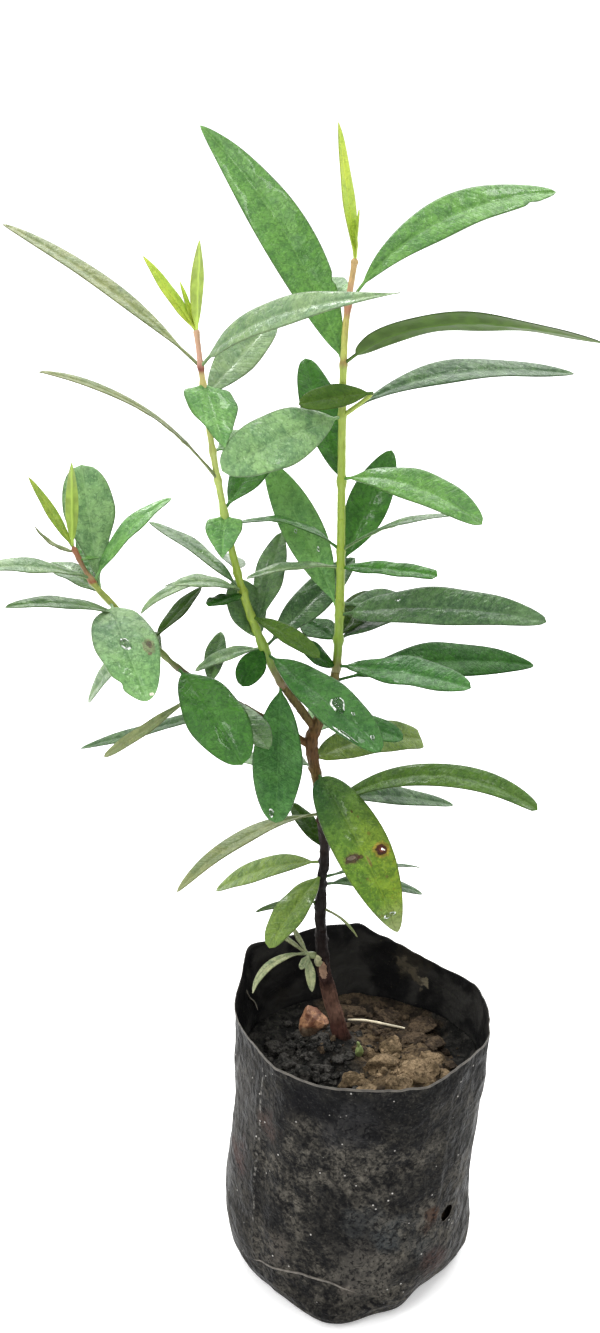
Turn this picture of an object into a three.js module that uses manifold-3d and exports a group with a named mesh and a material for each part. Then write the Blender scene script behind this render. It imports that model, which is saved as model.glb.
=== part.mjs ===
import * as THREE from 'three';
import { mergeVertices } from 'three/addons/utils/BufferGeometryUtils.js';
import Module from 'manifold-3d';

// A jamun sapling in a black polythene grow bag
// Millimetres, +Z up. The origin is the centre of the bag's flat underside.

const wasm = await Module();
wasm.setup();

// Driving dimensions

const GAP = 0.3;
const BAG_HEIGHT = 113;
const BAG_WALL = 0.9;
const BAG_SECTORS = 60;
const BAG_LEAN = -2.5;
const SOIL_LEVEL = 90;
const TRUNK_FOOT = 94;
const TRUNK_TOP = 257;
const LEFT_BOUGH_TOP = 253;
const FAR_BOUGH_TOP = 244;
const LEAF_FOLD = 8;
const LEAF_THICKNESS = 0.011;
const THINNEST_LEAF = 0.8;
const STALK_RADIUS = 0.55;

// Bag profile: height, radius

const BAG_PROFILE = [
  [0, 42.5], [3, 46.5], [9, 49.5], [22, 51.2], [45, 50.6], [75, 49.8], [100, 50.6], [125, 51.2],
];

// Dents and ridges of the bag: bearing, spread in degrees, depth, height, spread in height

const BAG_FOLDS = [
  [205, 24, -4.5, 113, 32],
  [-5, 38, -3.6, 37, 26],
  [185, 40, 1.6, 34, 24],
  [222, 4, -0.9, 60, 55],
  [144, 10, 4.5, 122, 24],
  [89, 6, 1.6, 118, 26],
  [60, 14, -1.8, 113, 34],
  [-20, 8, 1.4, 113, 30],
  [-62, 9, 1.2, 113, 26],
  [-95, 16, -0.9, 66, 14],
  [-130, 10, 0.9, 40, 30],
  [-70, 12, 0.8, 24, 18],
  [20, 7, 0.9, 90, 40],
  [155, 6, -0.9, 70, 40],
  [110, 12, 1.0, 30, 26],
  [250, 9, -1.0, 8, 10],
  [258, 19, 7.4, 2, 12],
  [312, 24, -5.5, 3, 14],
  [292, 10, 3, 3, 12],
];

// Rise and fall of the bag's rim: bearing, spread, height

const RIM_WAVES = [
  [108, 36, 9.5],
  [89, 6, 1.6],
  [45, 16, -2.2],
  [-62, 16, -1.4],
  [205, 22, -1.8],
  [146, 15, 7],
];

// Lumps on the soil: x, y, radius, height

const SOIL_LUMPS = [
  [14, -22, 12, 6.5],
  [30, -18, 9, 5],
  [26, 2, 8, 4.5],
  [4, -34, 9, 4],
  [-14, 2, 6, 4.5],
  [-26, -14, 9, 2.5],
  [-22, 26, 12, -3],
  [20, 30, 14, -2.5],
  [-36, 6, 10, -1.5],
];

// Limbs: x, y, z, radius

const LIMBS = {
  main: [
    [-6, 8, 94, 4.2], [-10, 8, 107, 3.2], [-14.5, 7.5, 128, 2.6], [-16, 6.5, 152, 2.2],
    [-15.6, 6, 168, 1.9], [-14.5, 6, 182, 1.9], [-17, 5, 210, 1.9], [-20, 5, 227, 2.2],
    [-18, 5, 235, 2.1], [-14, 5, 246, 1.9], [-10.8, 5, 257, 1.7], [-9.6, 5, 285, 1.6],
    [-9.4, 6, 307, 1.5], [-9.4, 6, 347, 1.4], [-9, 6, 375, 1.2], [-7.8, 6, 390, 1.1],
    [-5.6, 6, 406, 1.0],
  ],
  left: [
    [-18.6, 5, 234, 1.6], [-24, 2, 243.5, 1.6], [-32, -1, 257, 1.5], [-38, -3, 272, 1.5],
    [-43.5, -5, 289, 1.4], [-47.5, -6, 306, 1.3], [-51, -7, 326, 1.2], [-54, -7, 345, 1.1],
    [-56.5, -7, 366, 1.0], [-58.5, -6, 385, 0.9],
  ],
  far: [
    [-20, 5, 227, 1.6], [-46, -1, 246, 1.5], [-68, -6, 263, 1.4], [-79, -8, 277, 1.3],
    [-91.5, -9, 290, 1.2], [-98, -9, 299, 1.1], [-103, -9, 310, 1.0],
  ],
  side: [[-9.4, 6, 352, 0.9], [-4, 4.2, 356.5, 0.8], [1, 2.5, 361, 0.7]],
  sprout: [[-15.2, 7, 134, 1.1], [-19, 5.5, 135.5, 1.0], [-22, 4.5, 137, 0.8]],
};

// Leaves by limb: height, bearing, rise, length, width, arch at the base,
// droop at the tip, sideways sweep, roll, kind

const LEAVES = {
  main: [
    [406, -150, 81, 44, 6, 0, 0, 0, -70, 'young'],
    [405, -60, 82, 17, 4, 0, 0, 0, 70, 'young'],
    [390, 29, 21, 94, 15, 44, 10, 0, 38, 'lance'],
    [392, 112, -4, 38, 12, 10, 10, 20, -30, 'lance'],
    [370, 144, 51, 98, 17.5, 18, 15, 0, -52, 'young'],
    [370, -27, 10, 96, 13, 50, 0, 0, -35, 'hook'],
    [352, 27, 3, 99, 14, 38, 0, 0, 18, 'lance'],
    [352, -143, -12, 52, 20, 8, 8, 0, -50, 'oval'],
    [329.5, -38, -5, 60, 14, 25, 20, 0, 29, 'oval'],
    [328, 120, 57, 47, 15, 0, 0, 0, -5, 'oval'],
    [303, 178, 15, 40, 10, 30, 30, 0, 5, 'lance'],
    [303, -25, 24, 47, 10, 20, 10, 0, 0, 'lance'],
    [297, 50, 52, 47, 15, 0, 0, 0, 35, 'lance'],
    [297, -25, 3.5, 37, 7.5, 5, 5, 0, 20, 'ribbon'],
    [297, -160, 0, 36, 8, 15, 15, 0, 0, 'lance'],
    [279, -33, 10, 83, 16, 12, 10, 0, 35, 'round'],
    [279, 142, 57, 62, 15, 8, 5, 0, -45, 'lance'],
    [283, 40, -17, 46, 12, 10, 8, 0, 40, 'lance'],
    [270, 60, 25, 26, 12, 0, 0, 0, 5, 'lance'],
    [269, 45, 2, 36, 12, 15, 15, 0, 10, 'lance'],
    [269, 125, 2, 22, 12, 0, 0, 0, -15, 'lance'],
    [259, -30, 3, 54, 15, 10, 5, 0, 20, 'oval'],
    [259, -140, 35, 22, 10, 0, 0, 0, -45, 'oval'],
    [253, 28, -7, 91, 18, 12, 10, 0, 25, 'lance'],
    [238, -20, -6, 33, 12, 10, 10, 0, 20, 'oval'],
    [216.5, -53, -43, 68, 21.5, 12, 10, 0, 17, 'blunt'],
    [199.5, -23, 11.5, 91, 11, 22, 48, -8, 24, 'strap'],
    [204, 35, -18, 70, 11, 14, 4, 0, 20, 'lance'],
    [221, 39, -8, 57, 14, 22, 14, 0, 40, 'ribbon'],
    [218, 132, -16, 45, 12, 12, 12, 0, -22, 'lance'],
    [198, -145, -11, 68, 10, 25, 25, 0, 5, 'lance'],
    [182, 125, 27, 25, 9, 0, 0, 0, 5, 'lance'],
    [177, 143, -30, 64, 12, 12, 12, 0, -33, 'lance'],
    [172, -130, -30, 37, 14, 12, 12, 0, 0, 'oval'],
    [159, -160, 2, 27, 6, 14, 14, 0, 10, 'lance'],
    [157, -25, -31, 19, 2, 22, 22, 0, -15, 'lance'],
    [170, 22, -6, 43, 7, 14, 14, 0, -15, 'lance'],
    [167, 28, -20, 50, 9, 14, 14, 0, 15, 'lance'],
    [230, 75, -4, 43, 14, 10, 10, 0, 15, 'lance'],
    [203, 64, -36, 56, 14, 12, 12, 0, 40, 'lance'],
  ],
  left: [
    [384, -169, 56, 30, 5, 0, 0, 0, -50, 'young'],
    [384, -55, 84, 30, 6, 0, 0, 0, 15, 'young'],
    [384, 180, 73, 17, 2.2, 0, 0, 0, -40, 'young'],
    [384, 110, 76, 18, 2.5, 0, 0, 0, 0, 'young'],
    [372, 148, 26, 93, 10, 9, 9, 0, -3, 'lance'],
    [372, -33, 23, 84, 13, 43, -6, 0, 44, 'taper'],
    [362, 51, 30, 41, 14, 0, 0, 0, 24, 'strap'],
    [366, -62, -48, 24, 21, 0, 0, 0, -15, 'shield'],
    [343, 66, -10, 44, 12, 8, 8, 0, 35, 'lance'],
    [333, -142, 35, 83, 7.5, 20, 18, 0, -20, 'lance'],
    [322, 44, 42, 36, 16, 0, 0, 0, 10, 'lance'],
    [299, 100, -8, 38, 12, 8, 8, 0, 25, 'lance'],
    [320, -92, -35, 18, 13, 0, 0, 0, 0, 'shield'],
    [292, 150, 26, 44, 10, 12, 12, 0, 5, 'lance'],
    [292, -140, 17, 31, 9, 15, 15, 0, -15, 'lance'],
    [292, -158, -5, 41, 8, 40, 40, 0, 0, 'lance'],
    [292, 157, -5, 32, 7, 25, 20, 0, 5, 'lance'],
    [291, -125, 4, 20, 9, 0, 0, 0, 0, 'oval'],
    [277, 66, 53, 37, 12, 0, 0, 0, -5, 'lance'],
    [272, 150, 62, 24, 16, 0, 0, 0, -20, 'oval'],
    [269, 40, 30, 50, 14, 0, 0, 0, 20, 'lance'],
    [269, 172, -22, 28, 6, 20, 15, 0, -30, 'lance'],
    [282, -30, -20, 30, 8, 10, 8, 0, 20, 'oval'],
    [267, -41, -23, 58, 17, 8, 8, 0, 20, 'oval'],
    [270, -125, -42, 17, 11, 0, 0, 0, -10, 'oval'],
    [255, -97, -73, 52, 19, 0, 0, 0, 10, 'oval'],
  ],
  far: [
    [310, -154, 62, 30, 4.5, 0, 0, 0, -60, 'young'],
    [310, -70, 79, 32, 4.6, 0, 0, 0, 0, 'young'],
    [308, 180, 34, 17, 3.5, -30, -30, 0, 0, 'young'],
    [305, 0, 5, 7, 4, 0, 0, 0, 0, 'young'],
    [293, 112, 67, 45, 19, 0, 0, 0, 5, 'spoon'],
    [296, 31, 40, 42, 10, 25, 20, 0, 5, 'lance'],
    [298, -138, 17, 47, 10, 12, 12, 0, -15, 'lance'],
    [297, 96, 26, 38, 12, 0, 0, 0, -20, 'lance'],
    [291, 140, 12, 30, 11, 15, 10, 0, -5, 'lance'],
    [283, -148, 16, 48, 9, 15, 15, 0, -10, 'lance'],
    [268, 112, -17, 43, 14, 8, 8, 0, -45, 'lance'],
    [289, -64, -36, 42, 22, 10, 10, 15, 5, 'round'],
    [276, 150, -49, 43, 10, 12, 12, 0, -45, 'lance'],
    [274, 40, 34, 27, 10, 0, 0, 0, -10, 'lance'],
    [263, -50, -34, 45, 22, 10, 10, 0, 15, 'oval'],
    [254, 75, 48, 22, 9, 0, 0, 0, -15, 'lance'],
    [246, 151, -25, 81, 8, 0, 0, 0, -20, 'lance'],
    [255, -165, -32, 45, 5.5, -3, -3, 0, -20, 'spoon'],
    [251, -52, -21, 31, 14, 0, 0, 0, 0, 'lance'],
  ],
  side: [
    [361, -171, -6.6, 26, 9.5, 6, 6, 0, -45, 'oval'],
  ],
  sprout: [
    [136.5, -160, -30, 30, 3.8, 45, 55, 0, -20, 'lance'],
    [136.5, -80, -48, 15, 4, 10, 10, 0, 0, 'lance'],
    [136.5, 150, 55, 13, 3, 0, 0, 0, 0, 'lance'],
    [136.5, 170, 35, 16, 3, 0, 0, 0, 0, 'lance'],
    [136, -130, -35, 7, 4, 0, 0, 0, 0, 'oval'],
  ],
};

// Leaf outlines: where the blade is widest, bluntness of its base and of its tip,
// share of the length that is stalk

const LEAF_KINDS = {
  lance: [1, 0.85, 0.62, 0.09],
  oval: [1.1, 0.62, 0.5, 0.07],
  young: [0.85, 0.8, 0.75, 0.04],
  taper: [0.7, 0.7, 1.35, 0.07],
  round: [0.8, 0.55, 0.5, 0.07],
  strap: [1, 0.62, 0.36, 0.07],
  spoon: [1.6, 0.75, 0.45, 0.07],
  shield: [0.5, 0.4, 0.9, 0.04],
  ribbon: [1, 0.4, 0.2, 0.05],
  blunt: [0.9, 0.45, 0.66, 0.05],
  hook: [0.7, 0.55, 0.8, 0.07],
};

// Stations along a blade, from stalk to tip

const BLADE_STATIONS = [0.13, 0.33, 0.54, 0.74, 0.9];

const radians = THREE.MathUtils.degToRad;

// A bump that fades with the distance from its middle

function bump(distance, spread) {
  return Math.exp(-((distance / spread) ** 2));
}

function turnBetween(a, b) {
  return ((a - b + 540) % 360 + 360) % 360 - 180;
}

// Straight interpolation in a list of [where, value] pairs

function lookUp(pairs, where) {
  const next = Math.max(1, pairs.findIndex(([key]) => key >= where));
  const [x0, y0] = pairs[next - 1];
  const [x1, y1] = pairs[next];
  return y0 + ((y1 - y0) * (where - x0)) / (x1 - x0);
}

// One closed geometry from vertices and faces

function shell(points, faces) {
  const geometry = new THREE.BufferGeometry();
  const positions = new Float32Array(points.flatMap((point) => point.toArray()));
  geometry.setAttribute('position', new THREE.BufferAttribute(positions, 3));
  geometry.setIndex(faces);
  return geometry;
}

// Faces between rings of equal count; the rings turn counter-clockwise seen from the far end

function bridge(faces, lower, upper, count, crossed = false) {
  for (let i = 0; i < count; i += 1) {
    const j = (i + 1) % count;
    const [low, high] = crossed ? [lower + j, upper + i] : [lower + i, upper + j];
    faces.push(lower + i, lower + j, high);
    faces.push(low, upper + j, upper + i);
  }
}

function fan(faces, centre, ring, count, facingUp) {
  for (let i = 0; i < count; i += 1) {
    const j = (i + 1) % count;
    faces.push(centre, ...(facingUp ? [ring + i, ring + j] : [ring + j, ring + i]));
  }
}

function toSolid(geometry) {
  const bare = geometry.clone();
  bare.deleteAttribute('normal');
  bare.deleteAttribute('uv');
  const merged = mergeVertices(bare, 1e-4);
  return new wasm.Manifold(new wasm.Mesh({
    numProp: 3,
    vertProperties: new Float32Array(merged.attributes.position.array),
    triVerts: new Uint32Array(merged.index.array),
  }));
}

function toGeometry(solid) {
  const mesh = solid.getMesh();
  const geometry = new THREE.BufferGeometry();
  geometry.setAttribute('position', new THREE.BufferAttribute(mesh.vertProperties, 3));
  geometry.setIndex(new THREE.BufferAttribute(mesh.triVerts, 1));
  return geometry;
}

function fuse(solids) {
  return solids.reduce((whole, piece) => whole.add(piece));
}

const plant = new THREE.Group();

function place(name, geometry, [color, roughness]) {
  const material = new THREE.MeshStandardMaterial({ color, roughness, metalness: 0 });
  const mesh = new THREE.Mesh(geometry, material);
  mesh.name = name;
  plant.add(mesh);
}

const POLYTHENE = [0x26282a, 0.5];
const SOIL = [0x4a3b2c, 0.95];
const BARK = [0x4d3226, 0.8];
const LEAF_GREEN = [0x3f7a3a, 0.4];
const YELLOW_LEAF = [0x8fa83a, 0.45];
const PALE_SPROUT = [0x8c9a6c, 0.6];
const YELLOW_INDEX = 2;

// The bag's outer surface

function rimHeight(bearing) {
  return RIM_WAVES.reduce(
    (height, [at, spread, rise]) => height + rise * bump(turnBetween(bearing, at), spread),
    BAG_HEIGHT,
  );
}

function bagPoint(bearing, height, inset) {
  let radius = lookUp(BAG_PROFILE, height) - inset;
  for (const [at, spread, depth, middle, reach] of BAG_FOLDS) {
    radius += depth * bump(turnBetween(bearing, at), spread) * bump(height - middle, reach);
  }
  const angle = radians(bearing);
  const lean = BAG_LEAN * (1 - height / BAG_HEIGHT);
  return new THREE.Vector3(lean + radius * Math.cos(angle), radius * Math.sin(angle), height);
}

function bagRing(heightAt, inset) {
  return Array.from({ length: BAG_SECTORS }, (_, i) => {
    const bearing = (360 * i) / BAG_SECTORS;
    return bagPoint(bearing, heightAt(bearing), inset);
  });
}

// Heights that the bag's wall and the soil's side share

const WALL_LEVELS = [1.2, 3, 6, 10, 18, 30, 46, 62, 76, 88];

function growBag() {
  const outer = [0, ...WALL_LEVELS].map((height) => bagRing(() => height, 0));
  const inner = WALL_LEVELS.map((height) => bagRing(() => height, BAG_WALL));
  const top = WALL_LEVELS.at(-1);
  for (const share of [0.33, 0.67, 1]) {
    const heightAt = (bearing) => top + (rimHeight(bearing) - top) * share;
    outer.push(bagRing(heightAt, 0));
    inner.push(bagRing(heightAt, BAG_WALL));
  }
  const rings = [...outer, ...inner.reverse()];
  const points = rings.flat();
  const faces = [];
  for (let k = 0; k + 1 < rings.length; k += 1) {
    const inside = k >= outer.length;
    bridge(faces, k * BAG_SECTORS, (k + 1) * BAG_SECTORS, BAG_SECTORS, inside);
  }
  points.push(new THREE.Vector3(BAG_LEAN, 0, 0), new THREE.Vector3(BAG_LEAN, 0, WALL_LEVELS[0]));
  fan(faces, points.length - 2, 0, BAG_SECTORS, false);
  fan(faces, points.length - 1, (rings.length - 1) * BAG_SECTORS, BAG_SECTORS, true);
  return shell(points, faces);
}

// The soil: its side keeps a gap to the bag and its top has a flat seat for the trunk

const FOOT = new THREE.Vector2(LIMBS.main[0][0], LIMBS.main[0][1]);
const SEAT_RADIUS = 7;
const SOIL_RINGS = [0.82, 0.66, 0.5, 0.34];

function soilHeight(x, y) {
  const away = Math.hypot(x - FOOT.x, y - FOOT.y);
  const seat = TRUNK_FOOT - GAP;
  let height = SOIL_LEVEL + (seat - SOIL_LEVEL) * bump(away, 16);
  for (const [lumpX, lumpY, radius, rise] of SOIL_LUMPS) {
    height += rise * bump(Math.hypot(x - lumpX, y - lumpY), radius);
  }
  height += 0.5 * Math.sin(0.55 * x + 0.4 * y) * Math.sin(0.45 * y - 0.3 * x);
  return away < SEAT_RADIUS + 0.01 ? seat : height;
}

function soilBody() {
  const inset = BAG_WALL + GAP;
  const levels = [WALL_LEVELS[0] + GAP, ...WALL_LEVELS.slice(1)];
  const rings = levels.map((height) => bagRing(() => height, inset));
  const edge = rings.at(-1);
  const inward = (share) => edge.map((point) => {
    const x = FOOT.x + (point.x - FOOT.x) * share;
    const y = FOOT.y + (point.y - FOOT.y) * share;
    return new THREE.Vector3(x, y, soilHeight(x, y));
  });
  rings.push(...SOIL_RINGS.map(inward));
  rings.push(edge.map((point) => {
    const away = Math.hypot(point.x - FOOT.x, point.y - FOOT.y);
    const share = SEAT_RADIUS / away;
    return new THREE.Vector3(
      FOOT.x + (point.x - FOOT.x) * share,
      FOOT.y + (point.y - FOOT.y) * share,
      TRUNK_FOOT - GAP,
    );
  }));
  const points = rings.flat();
  const faces = [];
  for (let k = 0; k + 1 < rings.length; k += 1) {
    bridge(faces, k * BAG_SECTORS, (k + 1) * BAG_SECTORS, BAG_SECTORS);
  }
  points.push(new THREE.Vector3(BAG_LEAN, 0, levels[0]));
  points.push(new THREE.Vector3(FOOT.x, FOOT.y, TRUNK_FOOT - GAP));
  fan(faces, points.length - 2, 0, BAG_SECTORS, false);
  fan(faces, points.length - 1, (rings.length - 1) * BAG_SECTORS, BAG_SECTORS, true);
  return shell(points, faces);
}

// Limbs: a smooth curve through the limb's points, with the radius carried along

function limbCurve(name) {
  const points = LIMBS[name].map(([x, y, z]) => new THREE.Vector3(x, y, z));
  const radii = LIMBS[name].map(([, , , radius]) => new THREE.Vector3(radius, 0, 0));
  return {
    line: new THREE.CatmullRomCurve3(points, false, 'catmullrom', 0.5),
    thickness: new THREE.CatmullRomCurve3(radii, false, 'catmullrom', 0.5),
  };
}

function shareAtHeight({ line }, height) {
  let low = 0;
  let high = 1;
  for (let step = 0; step < 40; step += 1) {
    const middle = (low + high) / 2;
    if (line.getPoint(middle).z < height) low = middle;
    else high = middle;
  }
  return (low + high) / 2;
}

const LIMB_SIDES = 8;
const TRUNK_STATIONS = 30;

function limbSolid(curve, from, to, stations, fatter = 0, flatFoot = false) {
  const start = shareAtHeight(curve, from);
  const end = shareAtHeight(curve, to);
  const points = [];
  for (let i = 0; i <= stations; i += 1) {
    const share = start + ((end - start) * i) / stations;
    const centre = curve.line.getPoint(share);
    const flat = flatFoot && i === 0;
    const along = flat ? new THREE.Vector3(0, 0, 1) : curve.line.getTangent(share);
    const side = new THREE.Vector3(0, 1, 0).cross(along).normalize();
    const front = along.clone().cross(side);
    const radius = curve.thickness.getPoint(share).x + fatter;
    for (let k = 0; k < LIMB_SIDES; k += 1) {
      const angle = (2 * Math.PI * k) / LIMB_SIDES;
      points.push(centre.clone()
        .addScaledVector(side, radius * Math.cos(angle))
        .addScaledVector(front, radius * Math.sin(angle)));
    }
  }
  const faces = [];
  for (let i = 0; i < stations; i += 1) {
    bridge(faces, i * LIMB_SIDES, (i + 1) * LIMB_SIDES, LIMB_SIDES);
  }
  points.push(curve.line.getPoint(start), curve.line.getPoint(end));
  fan(faces, points.length - 2, 0, LIMB_SIDES, false);
  fan(faces, points.length - 1, stations * LIMB_SIDES, LIMB_SIDES, true);
  return toSolid(shell(points, faces));
}

// A leaf: its midrib bends up from the stalk and down at the tip, its halves fold up a little

function leafDirection([, bearing, rise, , , arch, droop, sweep], share) {
  const up = rise + arch * ((1 - share) ** 2 - 1 / 3) - droop * (share ** 2 - 1 / 3);
  const turn = bearing + sweep * (share - 0.5);
  return { up: radians(up), turn: radians(turn) };
}

function leafAxes(row, share) {
  const { up, turn } = leafDirection(row, share);
  const along = new THREE.Vector3(
    Math.cos(up) * Math.cos(turn), Math.cos(up) * Math.sin(turn), Math.sin(up));
  const level = new THREE.Vector3(-Math.sin(turn), Math.cos(turn), 0);
  const face = along.clone().cross(level);
  const roll = radians(row[8]);
  const side = level.clone().multiplyScalar(Math.cos(roll))
    .addScaledVector(face, Math.sin(roll));
  const normal = face.clone().multiplyScalar(Math.cos(roll))
    .addScaledVector(level, -Math.sin(roll));
  return { along, side, normal };
}

const MIDRIB_STEPS = 24;

function midribPoint(base, row, share) {
  const point = base.clone();
  const length = row[3];
  for (let step = 0; step < MIDRIB_STEPS; step += 1) {
    const middle = (share * (step + 0.5)) / MIDRIB_STEPS;
    point.addScaledVector(leafAxes(row, middle).along, (length * share) / MIDRIB_STEPS);
  }
  return point;
}

function leafSolid(base, row) {
  const [, , , length, width, , , , , kind] = row;
  const [widest, baseBluntness, tipBluntness, stalk] = LEAF_KINDS[kind];
  const fold = radians(LEAF_FOLD);
  const half = Math.max(THINNEST_LEAF, LEAF_THICKNESS * length) / 2;
  const stations = [[0, STALK_RADIUS], [stalk, STALK_RADIUS]];
  for (const along of BLADE_STATIONS) {
    const bluntness = along < 0.5 ** (1 / widest) ? baseBluntness : tipBluntness;
    const reach = Math.sin(Math.PI * along ** widest) ** bluntness;
    stations.push([stalk + (1 - stalk) * along, Math.max(STALK_RADIUS, (width / 2) * reach)]);
  }
  const points = [];
  for (const [share, reach] of stations) {
    const middle = midribPoint(base, row, share);
    const { side, normal } = leafAxes(row, share);
    const out = reach * Math.cos(fold);
    const lift = reach * Math.sin(fold);
    points.push(middle.clone().addScaledVector(side, -out).addScaledVector(normal, lift));
    points.push(middle.clone().addScaledVector(normal, -half));
    points.push(middle.clone().addScaledVector(side, out).addScaledVector(normal, lift));
    points.push(middle.clone().addScaledVector(normal, half));
  }
  const faces = [];
  const last = (stations.length - 1) * 4;
  for (let ring = 0; ring < last; ring += 4) bridge(faces, ring, ring + 4, 4);
  faces.push(0, 2, 1, 0, 3, 2);
  points.push(midribPoint(base, row, 1));
  fan(faces, points.length - 1, last, 4, true);
  return toSolid(shell(points, faces));
}

function leavesOn(limb, curve, low, high) {
  return LEAVES[limb]
    .filter(([height]) => height >= low && height <= high)
    .map((row) => leafSolid(curve.line.getPoint(shareAtHeight(curve, row[0])), row));
}

// The trunk and the two boughs, each cut clear of the trunk

const main = limbCurve('main');
const left = limbCurve('left');
const far = limbCurve('far');
const sideTwig = limbCurve('side');
const twig = limbCurve('sprout');
const trunkClearance = limbSolid(main, TRUNK_FOOT, TRUNK_TOP, TRUNK_STATIONS, GAP);

place('grow_bag', growBag(), POLYTHENE);
place('soil', soilBody(), SOIL);
place('trunk', toGeometry(limbSolid(main, TRUNK_FOOT, TRUNK_TOP, TRUNK_STATIONS, 0, true)), BARK);

const boughs = [
  ['left_bough', left, 234, LEFT_BOUGH_TOP],
  ['far_left_bough', far, 227, FAR_BOUGH_TOP],
];
for (const [name, curve, from, to] of boughs) {
  place(name, toGeometry(limbSolid(curve, from, to, 8).subtract(trunkClearance)), BARK);
}

// Leafy shoots: a stem with its leaves fused on

const shoots = [
  ['right_shoot_lower', 'main', main, TRUNK_TOP + GAP, 315],
  ['right_shoot_upper', 'main', main, 315 + GAP, 406],
  ['left_shoot_lower', 'left', left, LEFT_BOUGH_TOP + GAP, 312],
  ['left_shoot_upper', 'left', left, 312 + GAP, 385],
  ['far_left_shoot', 'far', far, FAR_BOUGH_TOP + GAP, 310],
];
for (const [name, limb, curve, from, to] of shoots) {
  const pieces = [limbSolid(curve, from, to, 10), ...leavesOn(limb, curve, from, to)];
  if (name === 'right_shoot_upper') {
    pieces.push(limbSolid(sideTwig, 352, 361, 4), ...leavesOn('side', sideTwig, 352, 361));
  }
  place(name, toGeometry(fuse(pieces)), LEAF_GREEN);
}

// Leaves that grow straight from the trunk, and the sprout near its foot

leavesOn('main', main, TRUNK_FOOT, TRUNK_TOP).forEach((leaf, index) => {
  const look = index === YELLOW_INDEX ? YELLOW_LEAF : LEAF_GREEN;
  place(`trunk_leaf_${index + 1}`, toGeometry(leaf.subtract(trunkClearance)), look);
});

const sprout = fuse([limbSolid(twig, 134, 137, 3), ...leavesOn('sprout', twig, 134, 137)]);
place('basal_sprout', toGeometry(sprout.subtract(trunkClearance)), PALE_SPROUT);

export default plant;
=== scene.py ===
import itertools
import math
from math import radians

import bmesh
import bpy
import numpy as np
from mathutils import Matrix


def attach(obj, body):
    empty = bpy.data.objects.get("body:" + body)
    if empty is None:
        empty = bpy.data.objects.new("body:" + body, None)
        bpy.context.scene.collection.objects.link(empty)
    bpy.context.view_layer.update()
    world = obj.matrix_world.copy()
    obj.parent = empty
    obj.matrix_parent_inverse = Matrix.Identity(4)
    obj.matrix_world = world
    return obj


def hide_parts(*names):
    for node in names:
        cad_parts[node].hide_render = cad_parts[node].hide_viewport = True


# A jamun sapling in a black polythene grow bag: the looks around the CAD frame
# Tables are in millimetres and degrees, as in the CAD. Meshes are written in metres.

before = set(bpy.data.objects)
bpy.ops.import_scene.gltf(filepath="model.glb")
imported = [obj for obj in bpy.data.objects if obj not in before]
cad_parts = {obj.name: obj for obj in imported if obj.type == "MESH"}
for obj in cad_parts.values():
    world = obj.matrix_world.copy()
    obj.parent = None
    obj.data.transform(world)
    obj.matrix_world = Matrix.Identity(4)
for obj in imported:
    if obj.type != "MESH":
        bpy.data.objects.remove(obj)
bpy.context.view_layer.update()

MM = 0.001

# The photograph's camera: millimetres, and pixels in a frame of 600 by 1333

CAMERA_PLACE = (-24, -570, 497)
CAMERA_PITCH = 22.5
FOCAL_PIXELS = 1700
FRAME_PIXELS = 1333

# Driving dimensions, the same as in the CAD

BAG_HEIGHT = 113
BAG_LEAN = -2.5
SOIL_LEVEL = 90
TRUNK_FOOT = 94
TRUNK_TOP = 257
LEFT_BOUGH_FOOT = 234
LEFT_BOUGH_TOP = 253
FAR_BOUGH_FOOT = 227
FAR_BOUGH_TOP = 244

BAG_PROFILE = [
    [0, 42.5], [3, 46.5], [9, 49.5], [22, 51.2], [45, 50.6], [75, 49.8], [100, 50.6], [125, 51.2],
]

# Dents and ridges of the bag: bearing, spread in degrees, depth, height, spread in height

BAG_FOLDS = [
    [205, 24, -4.5, 113, 32],
    [-5, 38, -3.6, 37, 26],
    [185, 40, 1.6, 34, 24],
    [222, 4, -0.9, 60, 55],
    [144, 10, 4.5, 122, 24],
    [89, 6, 1.6, 118, 26],
    [60, 14, -1.8, 113, 34],
    [-20, 8, 1.4, 113, 30],
    [-62, 9, 1.2, 113, 26],
    [-95, 16, -0.9, 66, 14],
    [-130, 10, 0.9, 40, 30],
    [-70, 12, 0.8, 24, 18],
    [20, 7, 0.9, 90, 40],
    [155, 6, -0.9, 70, 40],
    [110, 12, 1.0, 30, 26],
    [250, 9, -1.0, 8, 10],
    [258, 19, 7.4, 2, 12],
    [312, 24, -5.5, 3, 14],
    [292, 10, 3, 3, 12],
]

# Rise and fall of the bag's rim: bearing, spread, height

RIM_WAVES = [
    [108, 36, 9.5],
    [89, 6, 1.6],
    [45, 16, -2.2],
    [-62, 16, -1.4],
    [205, 22, -1.8],
    [146, 15, 7],
]

# Lumps on the soil: x, y, radius, height

SOIL_LUMPS = [
    [14, -22, 12, 6.5],
    [30, -18, 9, 5],
    [26, 2, 8, 4.5],
    [4, -34, 9, 4],
    [-14, 2, 6, 4.5],
    [-26, -14, 9, 2.5],
    [-22, 26, 12, -3],
    [20, 30, 14, -2.5],
    [-36, 6, 10, -1.5],
]

# Limbs: x, y, z, radius

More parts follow.
